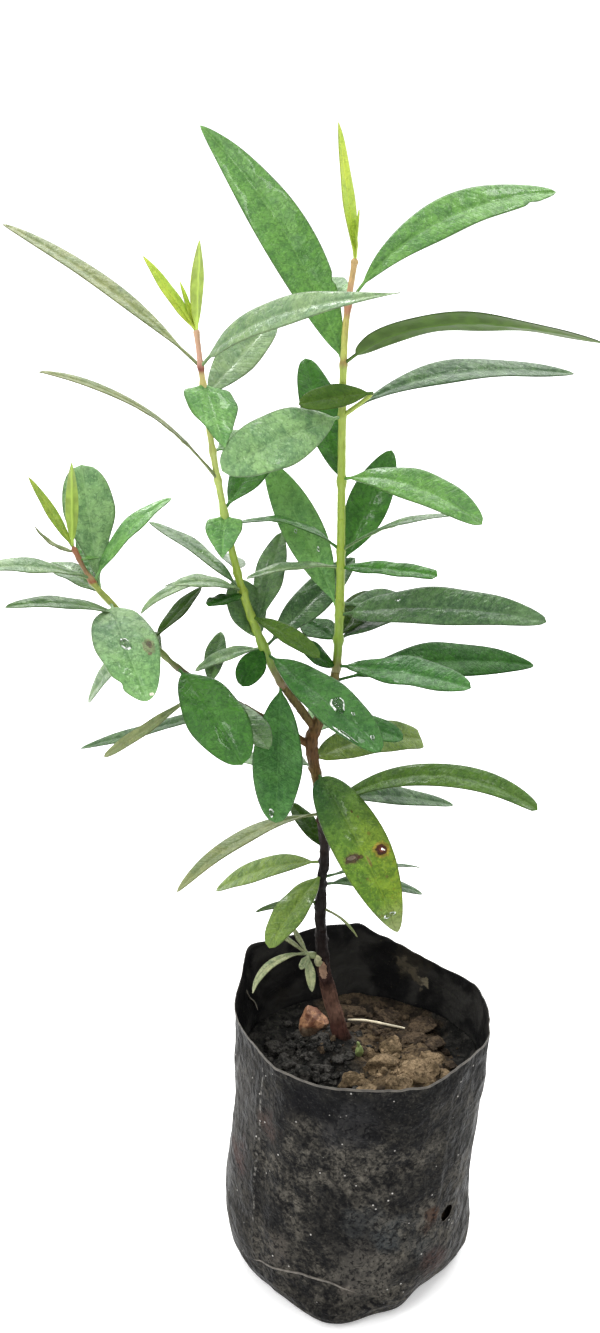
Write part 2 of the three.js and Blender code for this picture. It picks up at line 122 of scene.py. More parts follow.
LIMBS = {
    "main": [
        [-6, 8, 94, 4.2], [-10, 8, 107, 3.2], [-14.5, 7.5, 128, 2.6], [-16, 6.5, 152, 2.2],
        [-15.6, 6, 168, 1.9], [-14.5, 6, 182, 1.9], [-17, 5, 210, 1.9], [-20, 5, 227, 2.2],
        [-18, 5, 235, 2.1], [-14, 5, 246, 1.9], [-10.8, 5, 257, 1.7], [-9.6, 5, 285, 1.6],
        [-9.4, 6, 307, 1.5], [-9.4, 6, 347, 1.4], [-9, 6, 375, 1.2], [-7.8, 6, 390, 1.1],
        [-5.6, 6, 406, 1.0],
    ],
    "left": [
        [-18.6, 5, 234, 1.6], [-24, 2, 243.5, 1.6], [-32, -1, 257, 1.5], [-38, -3, 272, 1.5],
        [-43.5, -5, 289, 1.4], [-47.5, -6, 306, 1.3], [-51, -7, 326, 1.2], [-54, -7, 345, 1.1],
        [-56.5, -7, 366, 1.0], [-58.5, -6, 385, 0.9],
    ],
    "far": [
        [-20, 5, 227, 1.6], [-46, -1, 246, 1.5], [-68, -6, 263, 1.4], [-79, -8, 277, 1.3],
        [-91.5, -9, 290, 1.2], [-98, -9, 299, 1.1], [-103, -9, 310, 1.0],
    ],
    "side": [[-9.4, 6, 352, 0.9], [-4, 4.2, 356.5, 0.8], [1, 2.5, 361, 0.7]],
    "sprout": [[-15.2, 7, 134, 1.1], [-19, 5.5, 135.5, 1.0], [-22, 4.5, 137, 0.8]],
}

# Leaves by limb: height, bearing, rise, length, width, arch, droop, sweep, roll, kind, tone

LEAVES = {
    "main": [
        [406, -150, 81, 44, 6, 0, 0, 0, -70, "young", "young"],
        [405, -60, 82, 17, 4, 0, 0, 0, 70, "young", "young"],
        [390, 29, 21, 94, 15, 44, 10, 0, 38, "lance", "fresh"],
        [392, 112, -4, 38, 12, 10, 10, 20, -30, "lance", "fresh"],
        [370, 144, 51, 98, 17.5, 18, 15, 0, -52, "young", "fresh"],
        [370, -27, 10, 96, 13, 50, 0, 0, -35, "hook", "moss"],
        [352, 27, 3, 99, 14, 38, 0, 0, 18, "lance", "grey"],
        [352, -143, -12, 52, 20, 8, 8, 0, -50, "oval", "mint"],
        [329.5, -38, -5, 60, 14, 25, 20, 0, 29, "oval", "fresh"],
        [328, 120, 57, 47, 15, 0, 0, 0, -5, "oval", "mid"],
        [303, 178, 15, 40, 10, 30, 30, 0, 5, "lance", "mid"],
        [303, -25, 24, 47, 10, 20, 10, 0, 0, "lance", "sage"],
        [297, 50, 52, 47, 15, 0, 0, 0, 35, "lance", "mid"],
        [297, -25, 3.5, 37, 7.5, 5, 5, 0, 20, "ribbon", "mid"],
        [297, -160, 0, 36, 8, 15, 15, 0, 0, "lance", "pale"],
        [279, -33, 10, 83, 16, 12, 10, 0, 35, "round", "grey"],
        # A lighter tone than this leaf's own green, as the leaf lies in shade: painted light.
        [279, 142, 57, 62, 15, 8, 5, 0, -45, "lance", "bright"],
        [283, 40, -17, 46, 12, 10, 8, 0, 40, "lance", "grey"],
        [270, 60, 25, 26, 12, 0, 0, 0, 5, "lance", "moss"],
        [269, 45, 2, 36, 12, 15, 15, 0, 10, "lance", "grey"],
        [269, 125, 2, 22, 12, 0, 0, 0, -15, "lance", "deep"],
        [259, -30, 3, 54, 15, 10, 5, 0, 20, "oval", "jade"],
        [259, -140, 35, 22, 10, 0, 0, 0, -45, "oval", "deep"],
        [253, 28, -7, 91, 18, 12, 10, 0, 25, "lance", "deep"],
        [238, -20, -6, 33, 12, 10, 10, 0, 20, "oval", "jade"],
        [216.5, -53, -43, 68, 21.5, 12, 10, 0, 17, "blunt", "yellowing"],
        [199.5, -23, 11.5, 91, 11, 22, 48, -8, 24, "strap", "fern"],
        [204, 35, -18, 70, 11, 14, 4, 0, 20, "lance", "grey"],
        [221, 39, -8, 57, 14, 22, 14, 0, 40, "ribbon", "lime"],
        # A lighter tone than this leaf's own green, as the leaf lies in shade: painted light.
        [218, 132, -16, 45, 12, 12, 12, 0, -22, "lance", "sage"],
        [198, -145, -11, 68, 10, 25, 25, 0, 5, "lance", "straw"],
        [182, 125, 27, 25, 9, 0, 0, 0, 5, "lance", "moss"],
        [177, 143, -30, 64, 12, 12, 12, 0, -33, "lance", "lime"],
        [172, -130, -30, 37, 14, 12, 12, 0, 0, "oval", "lime"],
        [159, -160, 2, 27, 6, 14, 14, 0, 10, "lance", "moss"],
        [157, -25, -31, 19, 2, 22, 22, 0, -15, "lance", "straw"],
        [170, 22, -6, 43, 7, 14, 14, 0, -15, "lance", "grey"],
        [167, 28, -20, 50, 9, 14, 14, 0, 15, "lance", "grey"],
        [230, 75, -4, 43, 14, 10, 10, 0, 15, "lance", "fresh"],
        [203, 64, -36, 56, 14, 12, 12, 0, 40, "lance", "mid"],
    ],
    "left": [
        [384, -169, 56, 30, 5, 0, 0, 0, -50, "young", "young"],
        [384, -55, 84, 30, 6, 0, 0, 0, 15, "young", "young"],
        [384, 180, 73, 17, 2.2, 0, 0, 0, -40, "young", "young"],
        [384, 110, 76, 18, 2.5, 0, 0, 0, 0, "young", "young"],
        [372, 148, 26, 93, 10, 9, 9, 0, -3, "lance", "straw"],
        [372, -33, 23, 84, 13, 43, -6, 0, 44, "taper", "pale"],
        [362, 51, 30, 41, 14, 0, 0, 0, 24, "strap", "pale"],
        [366, -62, -48, 24, 21, 0, 0, 0, -15, "shield", "bright"],
        [343, 66, -10, 44, 12, 8, 8, 0, 35, "lance", "fresh"],
        [333, -142, 35, 83, 7.5, 20, 18, 0, -20, "lance", "straw"],
        [322, 44, 42, 36, 16, 0, 0, 0, 10, "lance", "mid"],
        [299, 100, -8, 38, 12, 8, 8, 0, 25, "lance", "sage"],
        [320, -92, -35, 18, 13, 0, 0, 0, 0, "shield", "bright"],
        [292, 150, 26, 44, 10, 12, 12, 0, 5, "lance", "sage"],
        [292, -140, 17, 31, 9, 15, 15, 0, -15, "lance", "pale"],
        [292, -158, -5, 41, 8, 40, 40, 0, 0, "lance", "pale"],
        [292, 157, -5, 32, 7, 25, 20, 0, 5, "lance", "pale"],
        [291, -125, 4, 20, 9, 0, 0, 0, 0, "oval", "deep"],
        [277, 66, 53, 37, 12, 0, 0, 0, -5, "lance", "sage"],
        [272, 150, 62, 24, 16, 0, 0, 0, -20, "oval", "sage"],
        [269, 40, 30, 50, 14, 0, 0, 0, 20, "lance", "grey"],
        [269, 172, -22, 28, 6, 20, 15, 0, -30, "lance", "pale"],
        [282, -30, -20, 30, 8, 10, 8, 0, 20, "oval", "olive"],
        [267, -41, -23, 58, 17, 8, 8, 0, 20, "oval", "jade"],
        [270, -125, -42, 17, 11, 0, 0, 0, -10, "oval", "deep"],
        [255, -97, -73, 52, 19, 0, 0, 0, 10, "oval", "jade"],
    ],
    "far": [
        [310, -154, 62, 30, 4.5, 0, 0, 0, -60, "young", "shoot"],
        [310, -70, 79, 32, 4.6, 0, 0, 0, 0, "young", "shoot"],
        [308, 180, 34, 17, 3.5, -30, -30, 0, 0, "young", "straw"],
        [305, 0, 5, 7, 4, 0, 0, 0, 0, "young", "fresh"],
        [293, 112, 67, 45, 19, 0, 0, 0, 5, "spoon", "mint"],
        [296, 31, 40, 42, 10, 25, 20, 0, 5, "lance", "bright"],
        [298, -138, 17, 47, 10, 12, 12, 0, -15, "lance", "pale"],
        [297, 96, 26, 38, 12, 0, 0, 0, -20, "lance", "mid"],
        [291, 140, 12, 30, 11, 15, 10, 0, -5, "lance", "sage"],
        [283, -148, 16, 48, 9, 15, 15, 0, -10, "lance", "sage"],
        [268, 112, -17, 43, 14, 8, 8, 0, -45, "lance", "moss"],
        [289, -64, -36, 42, 22, 10, 10, 15, 5, "round", "pale"],
        [276, 150, -49, 43, 10, 12, 12, 0, -45, "lance", "pale"],
        [274, 40, 34, 27, 10, 0, 0, 0, -10, "lance", "moss"],
        [263, -50, -34, 45, 22, 10, 10, 0, 15, "oval", "mid"],
        [254, 75, 48, 22, 9, 0, 0, 0, -15, "lance", "sage"],
        [246, 151, -25, 81, 8, 0, 0, 0, -20, "lance", "grey"],
        [255, -165, -32, 45, 5.5, -3, -3, 0, -20, "spoon", "straw"],
        [251, -52, -21, 31, 14, 0, 0, 0, 0, "lance", "sage"],
    ],
    "side": [[361, -171, -6.6, 26, 9.5, 6, 6, 0, -45, "oval", "olive"]],
    "sprout": [
        [136.5, -160, -30, 30, 3.8, 45, 55, 0, -20, "lance", "silver"],
        [136.5, -80, -48, 15, 4, 10, 10, 0, 0, "lance", "silver"],
        [136.5, 150, 55, 13, 3, 0, 0, 0, 0, "lance", "silver"],
        [136.5, 170, 35, 16, 3, 0, 0, 0, 0, "lance", "silver"],
        [136, -130, -35, 7, 4, 0, 0, 0, 0, "oval", "silver"],
    ],
}

# Leaf outlines: where the blade is widest, bluntness of its base and of its tip, share that is stalk

LEAF_KINDS = {
    "lance": [1.0, 0.85, 0.62, 0.09],
    "oval": [1.1, 0.62, 0.5, 0.07],
    "young": [0.85, 0.8, 0.75, 0.04],
    "taper": [0.7, 0.7, 1.35, 0.07],
    "round": [0.8, 0.55, 0.5, 0.07],
    "strap": [1.0, 0.62, 0.36, 0.07],
    "spoon": [1.6, 0.75, 0.45, 0.07],
    "shield": [0.5, 0.4, 0.9, 0.04],
    "ribbon": [1.0, 0.4, 0.2, 0.05],
    "blunt": [0.9, 0.45, 0.66, 0.05],
    "hook": [0.7, 0.55, 0.8, 0.07],
}

# Nicks in a leaf's edge: limb, height, bearing, side, share of the length, spread, depth

NICKS = [
    ["main", 370, 144, -1, 0.28, 0.012, 0.12],
    ["main", 390, 29, -1, 0.86, 0.02, 0.22],
    ["far", 289, -64, -1, 0.80, 0.045, 0.20],
]

# Base colours of the leaves' upper faces and undersides, the upper faces' gloss and their mottling. The
# grey-green tones sage, pale and mint are partly painted sheen of wet upper faces, and the mottling holds
# painted sheen and painted shade.

TONES = {
    "young": [(0.40, 0.53, 0.065), (0.40, 0.53, 0.10), 0.2, 0.3],
    "shoot": [(0.24, 0.35, 0.045), (0.26, 0.37, 0.06), 0.2, 0.4],
    "mint": [(0.170, 0.325, 0.125), (0.16, 0.26, 0.10), 0.3, 1.0],
    "bright": [(0.13, 0.31, 0.080), (0.15, 0.27, 0.08), 0.25, 0.85],
    "fresh": [(0.090, 0.235, 0.044), (0.11, 0.22, 0.06), 0.25, 0.9],
    "mid": [(0.042, 0.152, 0.020), (0.085, 0.18, 0.045), 0.18, 0.95],
    "lime": [(0.115, 0.190, 0.034), (0.12, 0.20, 0.04), 0.15, 0.8],
    "fern": [(0.055, 0.120, 0.018), (0.10, 0.17, 0.04), 0.12, 0.8],
    "sage": [(0.085, 0.175, 0.058), (0.13, 0.20, 0.08), 0.3, 0.9],
    "pale": [(0.160, 0.265, 0.118), (0.20, 0.28, 0.12), 0.3, 0.75],
    "straw": [(0.165, 0.205, 0.085), (0.17, 0.20, 0.085), 0.12, 0.4],
    "grey": [(0.055, 0.120, 0.043), (0.09, 0.15, 0.065), 0.15, 1.2],
    "moss": [(0.024, 0.060, 0.005), (0.055, 0.105, 0.018), 0.06, 0.7],
    "jade": [(0.043, 0.142, 0.030), (0.05, 0.12, 0.03), 0.14, 0.9],
    "olive": [(0.056, 0.118, 0.016), (0.060, 0.122, 0.018), 0.08, 0.5],
    "deep": [(0.019, 0.080, 0.010), (0.035, 0.10, 0.018), 0.05, 0.9],
    "silver": [(0.24, 0.28, 0.15), (0.25, 0.28, 0.16), 0.15, 1.0],
}

# Shared formulas

def bump(distance, spread):
    return np.exp(-((distance / spread) ** 2))


def turn_between(a, b):
    return (a - b + 540) % 360 - 180


def smooth_step(value, low, high):
    share = np.clip((value - low) / (high - low), 0, 1)
    return share * share * (3 - 2 * share)


def noise(points, cell, seed):
    """Smooth noise from -1 to 1, with features about as wide as cell."""
    lattice = np.random.default_rng(seed).uniform(-1, 1, (24, 24, 24))
    where = np.asarray(points, float) / cell + 1000
    corner = np.floor(where).astype(int)
    part = where - corner
    part = part * part * (3 - 2 * part)
    total = np.zeros(where.shape[:-1])
    for dx, dy, dz in np.ndindex(2, 2, 2):
        step = np.array([dx, dy, dz])
        share = np.prod(np.where(step == 1, part, 1 - part), axis=-1)
        i, j, k = np.moveaxis((corner + step) % 24, -1, 0)
        total += share * lattice[i, j, k]
    return total


def ridges(points, cell, seed):
    """Noise with sharp crests, from 0 to 1."""
    return (1 - np.abs(noise(points, cell, seed))) ** 3


# Materials

class Value:
    """An output of a node. Sums with it become Math nodes."""

    def __init__(self, look, socket):
        self.look = look
        self.socket = socket

    def __add__(self, other):
        return self.look.math("ADD", self, other)

    def __sub__(self, other):
        return self.look.math("SUBTRACT", self, other)

    def __mul__(self, other):
        return self.look.math("MULTIPLY", self, other)

    def __truediv__(self, other):
        return self.look.math("DIVIDE", self, other)

    def __abs__(self):
        return self.look.math("ABSOLUTE", self)


class Nodes:
    """A shader and the nodes that feed it, with a short call for each kind of node."""

    def __init__(self, owner, shader):
        owner.use_nodes = True
        self.tree = owner.node_tree
        self.shader = self.tree.nodes[shader]

    def feed(self, socket, value):
        if isinstance(value, Value):
            self.tree.links.new(value.socket, socket)
        elif socket.type == "RGBA":
            socket.default_value = (*value, 1)
        else:
            socket.default_value = value

    def set(self, name, value):
        self.feed(self.shader.inputs[name], value)

    def add(self, kind, inputs=(), output=0, **settings):
        node = self.tree.nodes.new("ShaderNode" + kind)
        for key, value in settings.items():
            setattr(node, key, value)
        for key, value in dict(inputs).items():
            self.feed(node.inputs[key], value)
        return Value(self, node.outputs[output])

    def math(self, operation, *values):
        return self.add("Math", enumerate(values), operation=operation)

    def vector(self, operation, *values, output=0):
        return self.add("VectorMath", enumerate(values), output, operation=operation)

    def step(self, value, low, high, bottom=0.0, top=1.0):
        inputs = {"Value": value, "From Min": low, "From Max": high, "To Min": bottom, "To Max": top}
        return self.add("MapRange", inputs, interpolation_type="SMOOTHSTEP")


class Look(Nodes):
    """A material, with calls for what several materials share."""

    def __init__(self, name, roughness, specular=0.5, coat=0.0):
        self.material = bpy.data.materials.new(name)
        super().__init__(self.material, "Principled BSDF")
        self.set("Roughness", roughness)
        self.set("Specular IOR Level", specular)
        self.set("Coat Weight", coat)
        self.set("Coat Roughness", 0.08)
        self.place = self.add("TexCoord", output="Object")

    def parts(self, vector):
        """The X, Y and Z of a vector."""
        split = self.add("SeparateXYZ", {0: vector}).socket.node
        return [Value(self, output) for output in split.outputs]

    def noise(self, cell, detail=2, where=None, distortion=0.0, output=0):
        """Noise from 0 to 1, with features about as wide as cell, in millimetres."""
        inputs = {"Scale": 1 / (cell * MM), "Detail": detail, "Distortion": distortion}
        inputs["Vector"] = self.place if where is None else where
        return self.add("TexNoise", inputs, output)

    def cells(self, cell, where):
        """The distance to the nearest of many scattered points."""
        return self.add("TexVoronoi", {"Vector": where, "Scale": 1 / (cell * MM)}, "Distance")

    def sway(self, cell, detail, reach):
        """Noise round zero that wavers by half of reach, in metres."""
        return (self.noise(cell, detail) - 0.5) * reach

    def shifted(self, cell, reach):
        """Each place, moved a little at random."""
        wander = self.vector("SUBTRACT", self.noise(cell, 4.0, output="Color"), (0.5, 0.5, 0.5))
        return self.vector("ADD", self.place, self.vector("MULTIPLY", wander, (reach, reach, reach)))

    def stretched(self, height):
        """Places squeezed in height, so that features on them are long upright ones."""
        return self.vector("MULTIPLY", self.place, (1.0, 1.0, height))

    def creases(self, cell, thin):
        """Thin wandering lines, 1 on the line."""
        return self.step(abs(self.noise(cell, 3, distortion=0.9) - 0.5), 0.0, thin, 1.0, 0.0)

    def mix(self, share, first, second):
        return self.add("Mix", {0: share, 6: first, 7: second}, output=2, data_type="RGBA")

    def layered(self, tint, layers):
        """Layers, each a share and a colour, over tint."""
        for share, colour in layers:
            tint = self.mix(share, tint, colour)
        return tint

    def tinted(self, colour, *factors):
        """A share of a plain colour, or of a colour that comes from a node."""
        if isinstance(colour, Value):
            return self.vector("MULTIPLY", colour, factors)
        return tuple(channel * factor for channel, factor in zip(colour, factors))

    def relief(self, height, depth, strength):
        """Bumps of that depth in millimetres."""
        inputs = {"Height": height, "Distance": depth * MM, "Strength": strength}
        self.set("Normal", self.add("Bump", inputs))

    def finished(self, tint, patches, low, high, relief):
        """The material with its colour, a roughness that follows patches from low to high, and its relief."""
        self.set("Base Color", tint)
        self.set("Roughness", self.step(patches, 0.3, 0.7, low, high))
        self.relief(*relief)
        return self.material


def shade(colour, factor):
    return tuple(min(1, channel * factor) for channel in colour)


LEAF_GLOSS = 0.34
VEIN_GAP = 2.7
VEIN_SLANT = 0.55


def leaf_grid(look):
    """Millimetres from the midrib and along the blade, and the shares of the way to its edge and tip."""
    mm = look.parts(look.add("UVMap", uv_map="leaf_mm"))
    share = look.parts(look.add("UVMap", uv_map="leaf_share"))
    return *mm[:2], *share[:2]


def leaf_skin(look, colour, mottling=1.0):
    """The upper face of a leaf: mottled green with fine creases, side veins, a midrib and a dark rim. Its
    pale mottle and flecks are painted sheen, and its dark crease lines are painted shade.
    """
    across, along, edge, share = leaf_grid(look)
    across = abs(across)
    patches = look.noise(9, 4, distortion=0.6)
    mottle = look.noise(2.6, 4, distortion=0.8)
    fine = look.noise(0.8, 3)
    wrinkle = look.creases(2.4, 0.03)
    wave = look.math("FRACT", (along - across * VEIN_SLANT) / VEIN_GAP)
    vein = look.step(abs(wave - 0.5), 0.02, 0.16, 1.0, 0.0)
    rib = look.step(across, 0.12, 0.42, 1.0, 0.0)
    low = 1 - 0.28 * mottling
    dull = look.tinted(colour, low, low + 0.06, low + 0.06)
    tint = look.mix(look.step(patches, 0.36, 0.64), dull, look.tinted(colour, 1.2, 1.12, 1.06))
    # The pale mottle and the fine pale flecks are painted sheen of a wet leaf; the dark lines along the
    # wrinkles are painted shade in its creases.
    layers = [
        [look.step(mottle, 0.50, 0.66, 0.0, 0.42 * mottling), (1.8, 1.55, 1.7)],
        [look.step(mottle, 0.34, 0.48, 0.5 * mottling, 0.0), (0.42, 0.50, 0.5)],
        [look.step(fine, 0.55, 0.68, 0.0, 0.40 * mottling), (2.0, 1.7, 1.9)],
        [wrinkle * min(0.9, 0.5 * mottling), (0.32, 0.40, 0.36)],
        [look.step(share, 0.88, 1.0, 0.0, 0.4), (1.6, 1.35, 1.6)],
        [rib * 0.35, (1.7, 1.45, 1.6)],
        [look.step(abs(edge), 0.90, 1.0, 0.0, 0.6), (0.5, 0.42, 0.4)],
    ]
    tint = look.layered(tint, [[part, look.tinted(colour, *factors)] for part, factors in layers])
    height = look.noise(3.4, 1, distortion=0.9) + look.noise(1.5, 1) * 0.3
    height = height - wrinkle * 0.14 - vein * 0.12
    return look.finished(tint, mottle, LEAF_GLOSS + 0.12, LEAF_GLOSS - 0.1, (height, 0.75, 0.9))


def leaf_under(name, colour):
    look = Look(name, 0.5, 0.25)
    across, _, _, share = leaf_grid(look)
    rib = look.step(abs(across), 0.25, 0.6, 0.7, 0.0)
    soft = look.noise(5, 4)
    skin = look.mix(look.step(soft, 0.35, 0.66), shade(colour, 0.78), shade(colour, 1.16))
    pale = tuple(0.4 * c + extra for c, extra in zip(colour, (0.20, 0.21, 0.15)))
    skin = look.layered(skin, [[look.step(share, 0.55, 1.0) * 0.4, pale], [rib, shade(colour, 1.4)]])
    return look.finished(skin, soft, 0.42, 0.6, (look.noise(1.6, 2), 0.12, 0.6))


# Dry spots on a leaf: millimetres across and along the blade, half axes, colour, strength

YELLOWING_SPOTS = [
    [6.4, 38.3, (3.3, 3.2), (0.30, 0.17, 0.025), 0.55],
    [6.4, 38.3, (2.2, 2.2), (0.045, 0.010, 0.006), 0.97],
    [6.5, 38.4, (0.9, 0.9), (0.16, 0.045, 0.026), 0.9],
    [7.4, 38.9, (0.35, 0.32), (0.80, 0.78, 0.70), 0.9],
    [-5.0, 37.2, (3.9, 2.4), (0.11, 0.10, 0.030), 0.5],
    [-5.0, 37.2, (3.2, 1.7), (0.050, 0.028, 0.016), 0.9],
    [-5.3, 36.8, (1.8, 0.8), (0.15, 0.12, 0.09), 0.85],
    [-1.8, 37.6, (1.3, 0.9), (0.05, 0.02, 0.01), 0.8],
    [0.6, 40.5, (0.5, 2.6), (0.16, 0.11, 0.02), 0.7],
    [3.3, 20.8, (0.5, 0.7), (0.05, 0.04, 0.01), 0.9],
    [4.4, 23.6, (0.4, 0.5), (0.10, 0.08, 0.02), 0.8],
    [5.0, 31.0, (0.6, 0.8), (0.13, 0.11, 0.02), 0.6],
    [4.0, 48.0, (0.6, 0.6), (0.15, 0.11, 0.03), 0.6],
    [-3.0, 46.0, (0.6, 0.5), (0.14, 0.10, 0.03), 0.6],
]
STAINED_SPOTS = [
    [7.2, 23.0, (2.3, 3.2), (0.16, 0.13, 0.075), 0.55],
    [7.6, 22.4, (1.0, 1.6), (0.075, 0.050, 0.034), 0.75],
    [6.7, 26.0, (0.8, 0.6), (0.17, 0.10, 0.07), 0.7],
    [2.2, 40.2, (0.9, 0.6), (0.75, 0.72, 0.60), 0.8],
]


def spotted(look, tint, spots):
    """Ragged ovals over tint."""
    across, along, _, _ = leaf_grid(look)
    for x, y, size, colour, strength in spots:
        dx = (across - x) / size[0]
        dy = (along - y) / size[1]
        away = look.math("SQRT", dx * dx + dy * dy) + look.sway(1.2, 3, 0.7)
        tint = look.mix(look.step(away, 0.82, 1.08, 1.0, 0.0) * strength, tint, colour)
    return tint


def stained_top(name):
    look = Look(name, LEAF_GLOSS, 0.3, 0.2)
    _, along, _, _ = leaf_grid(look)
    # Paler and greyer towards the stalk: painted sheen. The spots laid on it are stains.
    tint = look.mix(look.step(along, 8.0, 34.0), (0.205, 0.340, 0.175), (0.150, 0.330, 0.105))
    return leaf_skin(look, spotted(look, tint, STAINED_SPOTS))


def yellowing_top(name):
    look = Look(name, LEAF_GLOSS, 0.12, 0.12)
    across, along, _, share = leaf_grid(look)
    green = look.mix(look.step(along, 2.0, 44.0), (0.034, 0.105, 0.030), (0.110, 0.215, 0.022))
    yellow = look.mix(look.step(along, 6.0, 44.0), (0.058, 0.132, 0.026), (0.140, 0.232, 0.020))
    side = look.step(across + look.sway(6, 3, 10.0), -5.5, 4.5)
    rust = look.step(look.noise(1.3, 3), 0.58, 0.70, 0.0, 0.35) * look.step(share, 0.3, 0.7)
    tint = look.layered(green, [
        [side, yellow],
        [look.step(share, 0.80, 0.97, 0.0, 0.8), (0.155, 0.205, 0.085)],
        [rust, (0.11, 0.050, 0.010)],
    ])
    return leaf_skin(look, spotted(look, tint, YELLOWING_SPOTS))


def zoned(look, zones, sway):
    """A colour that changes with height: zones are [height, colour], and sway is how far they waver."""
    wavy = look.parts(look.place)[2] + look.sway(5, 3, sway * MM)
    lows = [zone[0] * MM for zone in zones]
    layers = [[look.step(wavy, low, high * MM), colour] for low, (high, colour) in zip(lows, zones[1:])]
    return look.layered(zones[0][1], layers)


def stem_look(name, zones):
    look = Look(name, 0.42, 0.4, 0.1)
    tint = zoned(look, zones, 3)
    streaks = look.step(look.noise(0.9, 3, look.stretched(0.22)), 0.50, 0.68, 0.0, 0.45)
    spots = look.step(look.noise(1.6, 3), 0.56, 0.72, 0.0, 0.5)
    layers = [[streaks, look.tinted(tint, 0.55, 0.5, 0.5)], [spots, look.tinted(tint, 1.4, 1.2, 1.3)]]
    tint = look.layered(tint, layers)
    return look.finished(tint, look.noise(3, 2), 0.32, 0.55, (look.noise(0.9, 3), 0.2, 0.7))


def bark_look(name, zones):
    look = Look(name, 0.62, 0.1)
    tint = zoned(look, zones, 12)
    grain = look.stretched(0.28)
    streaks = look.step(look.noise(0.9, 4, grain), 0.44, 0.66, 0.0, 0.6)
    specks = look.step(look.noise(0.8, 2), 0.62, 0.74, 0.0, 0.6)
    light = look.vector("ADD", look.tinted(tint, 1.6, 1.3, 1.2), (0.014, 0.008, 0.006))
    tint = look.layered(tint, [[streaks, look.tinted(tint, 0.25, 0.25, 0.3)], [specks, light]])
    return look.finished(tint, look.noise(2.5, 2), 0.35, 0.75, (look.noise(0.7, 4, grain), 0.45, 0.8))


# Dust and stains on the bag, outside and inside, with painted sheen and painted shadow among the outside
# ones: bearing, height, radius, colour, strength

BAG_STAINS_SHEEN_AND_SHADOW = [
    # Lighter grey on the upper left wall, where the light grazes it: painted sheen.
    [202, 84, 22, (0.060, 0.057, 0.053), 0.5],
    [203, 45, 18, (0.036, 0.033, 0.029), 0.4],
    [201, 58, 9, (0.070, 0.034, 0.030), 0.45],
    [262, 22, 5.5, (0.19, 0.165, 0.14), 0.60],
    [270, 29, 14, (0.115, 0.106, 0.092), 0.34],
    [266, 95, 12, (0.030, 0.030, 0.032), 0.45],
    # Near black below the rim at the front left, in the dent: painted shadow.
    [232, 98, 8, (0.006, 0.006, 0.007), 0.60],
    [270, 50, 8, (0.060, 0.066, 0.068), 0.30],
    [284, 43, 8, (0.058, 0.068, 0.074), 0.35],
    [300, 33, 8, (0.062, 0.070, 0.073), 0.30],
    [306, 23, 9, (0.045, 0.021, 0.018), 0.55],
    [303, 47, 5, (0.050, 0.024, 0.014), 0.70],
    [318, 80, 14, (0.020, 0.020, 0.019), 0.5],
    # Near black below the rim at the front left, in the dent: painted shadow.
    [244, 101, 9, (0.005, 0.005, 0.006), 0.85],
    [224, 84, 6, (0.070, 0.045, 0.038), 0.45],
    [231, 31, 7, (0.10, 0.088, 0.075), 0.45],
    [250, 12, 6, (0.010, 0.010, 0.010), 0.5],
    [90, 60, 20, (0.075, 0.068, 0.060), 0.4],
    [40, 40, 18, (0.070, 0.064, 0.056), 0.4],
    [140, 30, 16, (0.080, 0.066, 0.055), 0.45],
]
INSIDE_STAINS = [
    [66, 107, 4.5, (0.20, 0.17, 0.12), 0.7],
    [60, 104, 4, (0.26, 0.22, 0.15), 0.7],
    [54, 101, 3, (0.30, 0.26, 0.18), 0.75],
    [62, 108, 10, (0.035, 0.030, 0.022), 0.6],
    [128, 95, 6, (0.030, 0.026, 0.022), 0.5],
]
BAG_RADIUS = 50
SEAM_BEARING = 216.2
BLACK_FILM = (0.0050, 0.0052, 0.0056)
DRIED_SOIL = (0.098, 0.090, 0.075)


def round_patches(look, film, stains, where, distance, inner, outer):
    """Soft round patches over film, full within inner and gone past outer, as shares of their radius. Inside
    they are stains; outside some are painted sheen and painted shadow.
    """
    for bearing, height, radius, colour, strength in stains:
        turn = radians(bearing)
        centre = (distance * MM * math.cos(turn), distance * MM * math.sin(turn), height * MM)
        away = look.vector("DISTANCE", where, centre, output="Value")
        share = look.step(away, radius * inner * MM, radius * outer * MM, strength, 0.0)
        film = look.mix(share, film, colour)
    return film


